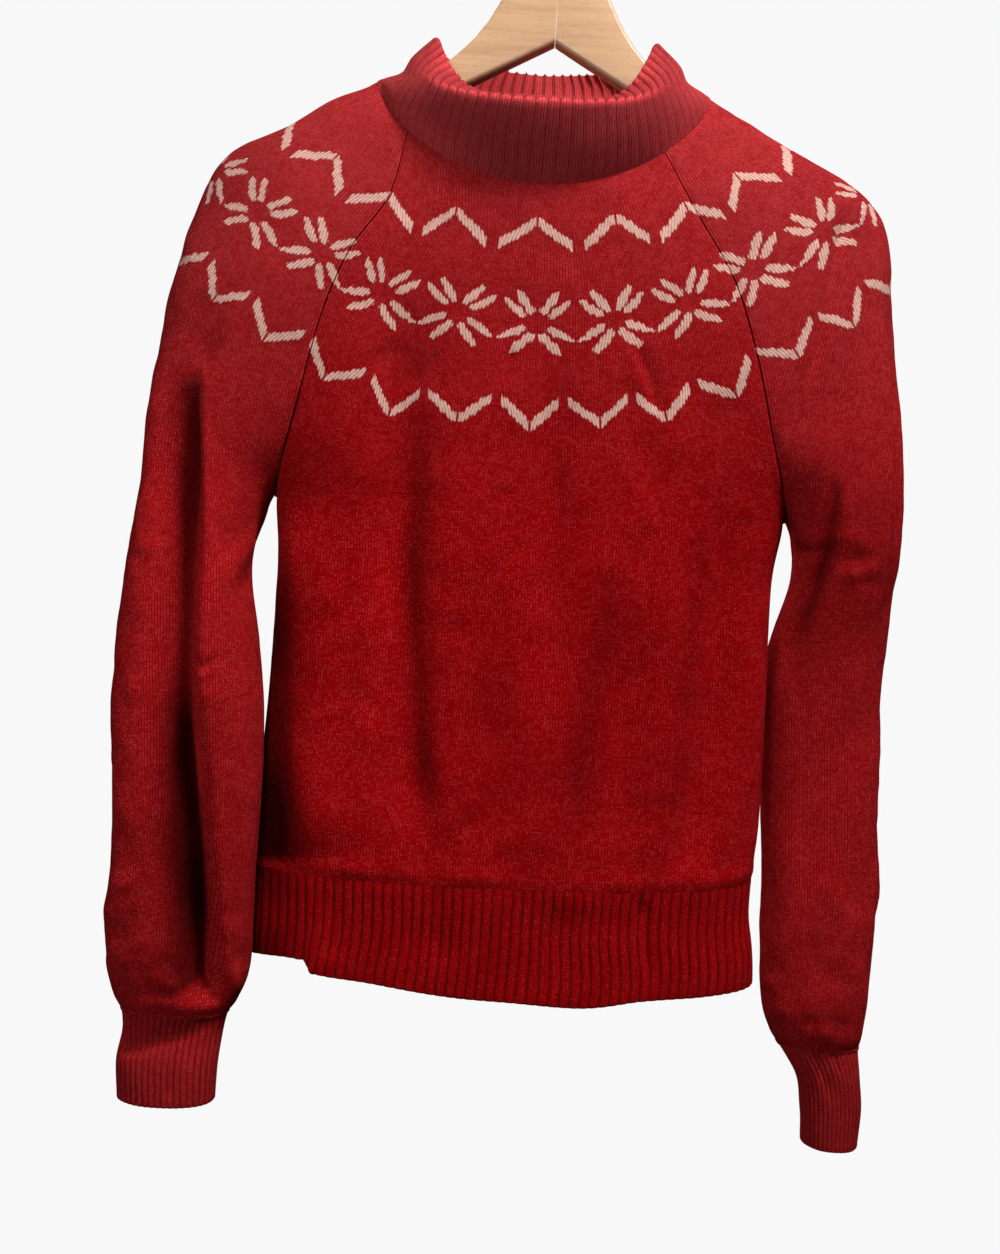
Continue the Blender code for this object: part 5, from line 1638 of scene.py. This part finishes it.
class PulloverYarn(PropertyGroup):
    """Colours of the yarns."""
    red: FloatVectorProperty(name="Red", description="The yarn's own red", subtype="COLOR", size=3,
                             default=(0.37, 0.0004, 0.0016), min=0, max=1)
    # shade is painted shade between the strands; fleck is partly random flecks and partly a painted highlight
    # on the raised strands
    shade: FloatVectorProperty(name="Shade", description="Red between the strands", subtype="COLOR", size=3,
                               default=(0.20, 0.0001, 0.0006), min=0, max=1)
    fleck: FloatVectorProperty(name="Fleck", description="Red of the raised strands", subtype="COLOR",
                               size=3, default=(0.66, 0.045, 0.050), min=0, max=1)
    cream: FloatVectorProperty(name="Cream", description="The motifs' yarn", subtype="COLOR", size=3,
                               default=(0.93, 0.60, 0.50), min=0, max=1)
    # cream_shade is painted shade at the sides of each colour stitch
    cream_shade: FloatVectorProperty(name="Cream shade", description="Between the motifs' strands",
                                     subtype="COLOR", size=3, default=(0.74, 0.26, 0.21), min=0, max=1)
    # Painted sheen: the pale red mixed in where fuzz would catch the light, and its share at the shoulders,
    # where light falls from above
    painted_sheen: FloatVectorProperty(name="Haze", description="Red seen through fuzz that catches the light",
                              subtype="COLOR", size=3, default=(0.56, 0.068, 0.074), min=0, max=1)
    shoulder_painted_sheen: FloatProperty(name="Shoulder haze", description="Share of the haze at the shoulders",
                                 default=0.22, min=0.0, max=1.0)
    sheen: FloatProperty(name="Fuzz", description="Light caught by the wool's fuzz", default=0.02,
                         min=0.0, max=1.0)
    sheen_tint: FloatVectorProperty(name="Fuzz tint", description="Colour of that light", subtype="COLOR",
                                    size=3, default=(1.0, 0.30, 0.32), min=0, max=1)


class PulloverHanger(PropertyGroup):
    """Colours of the hanger."""
    light: FloatVectorProperty(name="Pale wood", description="Spring wood", subtype="COLOR", size=3,
                               default=(0.69, 0.405, 0.207), min=0, max=1)
    dark: FloatVectorProperty(name="Dark wood", description="Grain lines", subtype="COLOR", size=3,
                              default=(0.57, 0.29, 0.132), min=0, max=1)
    ray: FloatVectorProperty(name="Rays", description="The short flecks in beech", subtype="COLOR", size=3,
                             default=(0.40, 0.18, 0.081), min=0, max=1)
    bright: FloatVectorProperty(name="Plating", description="Bright plating", subtype="COLOR", size=3,
                                default=(0.78, 0.78, 0.79), min=0, max=1)
    dull: FloatVectorProperty(name="Drawing marks", description="Dull marks in the plating", subtype="COLOR",
                              size=3, default=(0.55, 0.55, 0.57), min=0, max=1)


class PulloverStudio(PropertyGroup):
    """Light and background."""
    key: FloatProperty(name="Key light", description="The light above and before the garment",
                       default=57.0, unit="POWER")
    side: FloatProperty(name="Side light", description="The weaker light at the other side",
                        default=7.5, unit="POWER")
    back: FloatProperty(name="Back light", description="The light behind", default=20.0, unit="POWER")
    fill: FloatProperty(name="Fill", description="Even light from all round", default=0.05, min=0.0)
    paper: FloatProperty(name="Paper", description="Brightness of floor and backdrop", default=0.94)


# ---------------------------------------------------------------- operators

def yoke_forms():
    """The smooth forms of the four yoke pieces and their motif maps."""
    forms = {"front": panel_form(-1), "back": panel_form(1),
             "sleeve_left": sleeve_form(-1), "sleeve_right": sleeve_form(1)}
    return forms, motif_maps(forms)


class PULLOVER_OT_body(Operator):
    """Knits the front, the back and both sleeves."""
    bl_idname = "pullover.body"
    bl_label = "Body and sleeves"

    def execute(self, context):
        knit, yarn = context.scene.pullover_knit, context.scene.pullover_yarn
        forms, maps = yoke_forms()
        panel_wool = wool("wool_panel_knit", knit, yarn, PANEL_PAINTED_SHEEN)
        sleeve_wool = wool("wool_sleeve_knit", knit, yarn, SLEEVE_PAINTED_SHEEN)
        for name, form in forms.items():
            cover(name, "_cloth", plain_cloth(name, form, maps[name], knit),
                  sleeve_wool if name in SLEEVE_CREASES else panel_wool)
        return {"FINISHED"}


class PULLOVER_OT_ribs(Operator):
    """Knits the collar, the hem rib and both cuffs."""
    bl_idname = "pullover.ribs"
    bl_label = "Collar, hem and cuffs"

    def execute(self, context):
        knit, yarn = context.scene.pullover_knit, context.scene.pullover_yarn
        ribs = rib_tree()
        collar_yarn = rib_wool("wool_collar_rib", knit, yarn, COLLAR_PAINTED_SHEEN)
        hem_yarn = rib_wool("wool_hem_rib", knit, yarn, HEM_PAINTED_SHEEN)
        # The cuffs' yarn is painted brighter, standing in for light, and paled by its painted sheen
        cuff_yarn = rib_wool("wool_cuff_rib", knit, yarn, CUFF_PAINTED_SHEEN, CUFF_PAINTED_BRIGHTNESS)
        collar = even_ring(collar_form(), knit.collar_ribs * COLLAR_STEPS_A_RIB)
        made = {"collar": (collar, knit.collar_ribs, knit.collar_rise, collar_yarn),
                "hem_rib": (hem_form(knit.hem_ribs * STEPS_A_RIB), knit.hem_ribs, knit.hem_rise, hem_yarn)}
        for name, side in (("cuff_left", -1), ("cuff_right", 1)):
            form = cuff_form(side, knit.cuff_ribs * STEPS_A_RIB)
            made[name] = (form, knit.cuff_ribs, knit.cuff_rise, cuff_yarn)
        for name, (form, count, rise, finish) in made.items():
            cover(name, "_cloth", rib_cloth(name, form, count, rise, ribs, finish, knit))
        return {"FINISHED"}


class PULLOVER_OT_seams(Operator):
    """Links the collar to the neck and the cuffs to the sleeves with chain stitches."""
    bl_idname = "pullover.seams"
    bl_label = "Seam stitches"

    def execute(self, context):
        knit, yarn = context.scene.pullover_knit, context.scene.pullover_yarn
        chain = chain_tree()
        values = {"Pitch": SEAM_PITCH * MM, "Thickness": SEAM_THICKNESS * MM, "Spread": SEAM_SPREAD * MM,
                  "Lean": SEAM_LEAN, "Yarn": seam_yarn("wool_seam_strand", knit, yarn)}
        lines = {"neck_seam_stitches": (collar_form(), 1, NECK_CHAIN_STAND)}
        for name, side in (("cuff_left_seam_stitches", -1), ("cuff_right_seam_stitches", 1)):
            lines[name] = (cuff_form(side, CUFF_CHAIN_STEPS), -side, SEAM_STAND)
        for name, (form, outward, stand) in lines.items():
            normal = normals_of(form, 0, outward)
            data = seam_line(name + "_line", (form[0] + normal[0] * stand)[:-1], normal[0, :-1])
            hang(name, grown(name, data, chain, values))
        return {"FINISHED"}


class PULLOVER_OT_hanger(Operator):
    """Makes the wooden hanger and its hook."""
    bl_idname = "pullover.hanger"
    bl_label = "Hanger"

    def execute(self, context):
        colours = context.scene.pullover_hanger
        for name, side in (("hanger_arm_left", -1), ("hanger_arm_right", 1)):
            cover(name, "_wood", arm_mesh(name, side),
                  beech(name + "_beech", colours, side * ARM_SLOPE))
        cover("hanger_hook", "_wire", hook_mesh("hanger_hook"),
              plated_steel("plated_wire", colours))
        return {"FINISHED"}


class PULLOVER_OT_studio(Operator):
    """Sets the camera, the lights, the pale floor and the backdrop."""
    bl_idname = "pullover.studio"
    bl_label = "Studio"

    def execute(self, context):
        scene, studio = context.scene, context.scene.pullover_studio
        scene.view_settings.view_transform = "Standard"
        lens = bpy.data.cameras.new("studio_camera")
        lens.sensor_fit = "VERTICAL"
        lens.sensor_height = SENSOR
        lens.lens = CAMERA_REACH * SENSOR
        camera = linked("studio_camera", lens)
        camera.location = Vector(CAMERA_PLACE) * MM
        camera.rotation_euler = (math.radians(90), math.radians(-CAMERA_ROLL), 0)
        scene.camera = camera
        for name, setting in LAMPS.items():
            self.add_light(name + "_light", getattr(studio, name), setting)
        world = bpy.data.worlds.new("studio_fill")
        world.use_nodes = True
        fill = world.node_tree.nodes["Background"]
        fill.inputs["Color"].default_value = (1.0, 1.0, 1.0, 1.0)
        fill.inputs["Strength"].default_value = studio.fill
        scene.world = world
        paper = Finish("studio_paper")
        paper.set(base_color=(0.0, 0.0, 0.0), specular_ior_level=0.0, emission_strength=1.0,
                  emission_color=(studio.paper,) * 3)
        for name, add in (("studio_floor", self.floor), ("studio_backdrop", self.backdrop)):
            piece = linked(name, add(name))
            piece.data.materials.append(paper.material)
            piece.visible_diffuse = piece.visible_shadow = False
        return {"FINISHED"}

    def add_light(self, name, power, setting):
        light = bpy.data.lights.new(name, "AREA")
        light.shape = "RECTANGLE"
        light.size = light.size_y = setting.size
        light.energy = power
        lamp = linked(name, light)
        lamp.location = setting.place
        way = Vector(setting.target) - Vector(setting.place)
        lamp.rotation_euler = way.to_track_quat("-Z", "Y").to_euler()

    def floor(self, name):
        shape = bmesh.new()
        bmesh.ops.create_circle(shape, cap_ends=True, segments=64, radius=STUDIO_RADIUS)
        bmesh.ops.translate(shape, verts=shape.verts[:], vec=(0, 0, FLOOR_LEVEL))
        return mesh_from(shape, name)

    def backdrop(self, name):
        shape = bmesh.new()
        bmesh.ops.create_uvsphere(shape, u_segments=64, v_segments=32, radius=STUDIO_RADIUS)
        bmesh.ops.reverse_faces(shape, faces=shape.faces[:])
        return mesh_from(shape, name)


class PULLOVER_PT_panel(Panel):
    """Lists the steps and the sizes."""
    bl_label = "Pullover"
    bl_space_type = "VIEW_3D"
    bl_region_type = "UI"
    bl_category = "Pullover"

    def draw(self, context):
        for group in ("pullover_knit", "pullover_yarn", "pullover_hanger", "pullover_studio"):
            box = self.layout.box()
            settings = getattr(context.scene, group)
            for name in settings.__annotations__:
                box.prop(settings, name)
        for step in STEPS:
            self.layout.operator(step.bl_idname)


STEPS = (PULLOVER_OT_studio, PULLOVER_OT_body, PULLOVER_OT_ribs, PULLOVER_OT_seams, PULLOVER_OT_hanger)
SETTINGS = {"pullover_knit": PulloverKnit, "pullover_yarn": PulloverYarn, "pullover_hanger": PulloverHanger,
            "pullover_studio": PulloverStudio}


def register():
    for made in (*SETTINGS.values(), *STEPS, PULLOVER_PT_panel):
        bpy.utils.register_class(made)
    for name, group in SETTINGS.items():
        setattr(bpy.types.Scene, name, PointerProperty(type=group))


def unregister():
    for name in SETTINGS:
        delattr(bpy.types.Scene, name)
    for made in reversed((*SETTINGS.values(), *STEPS, PULLOVER_PT_panel)):
        bpy.utils.unregister_class(made)


def main():
    register()
    for step in STEPS:
        group, name = step.bl_idname.split(".")
        getattr(getattr(bpy.ops, group), name)()


if __name__ == "__main__":
    main()
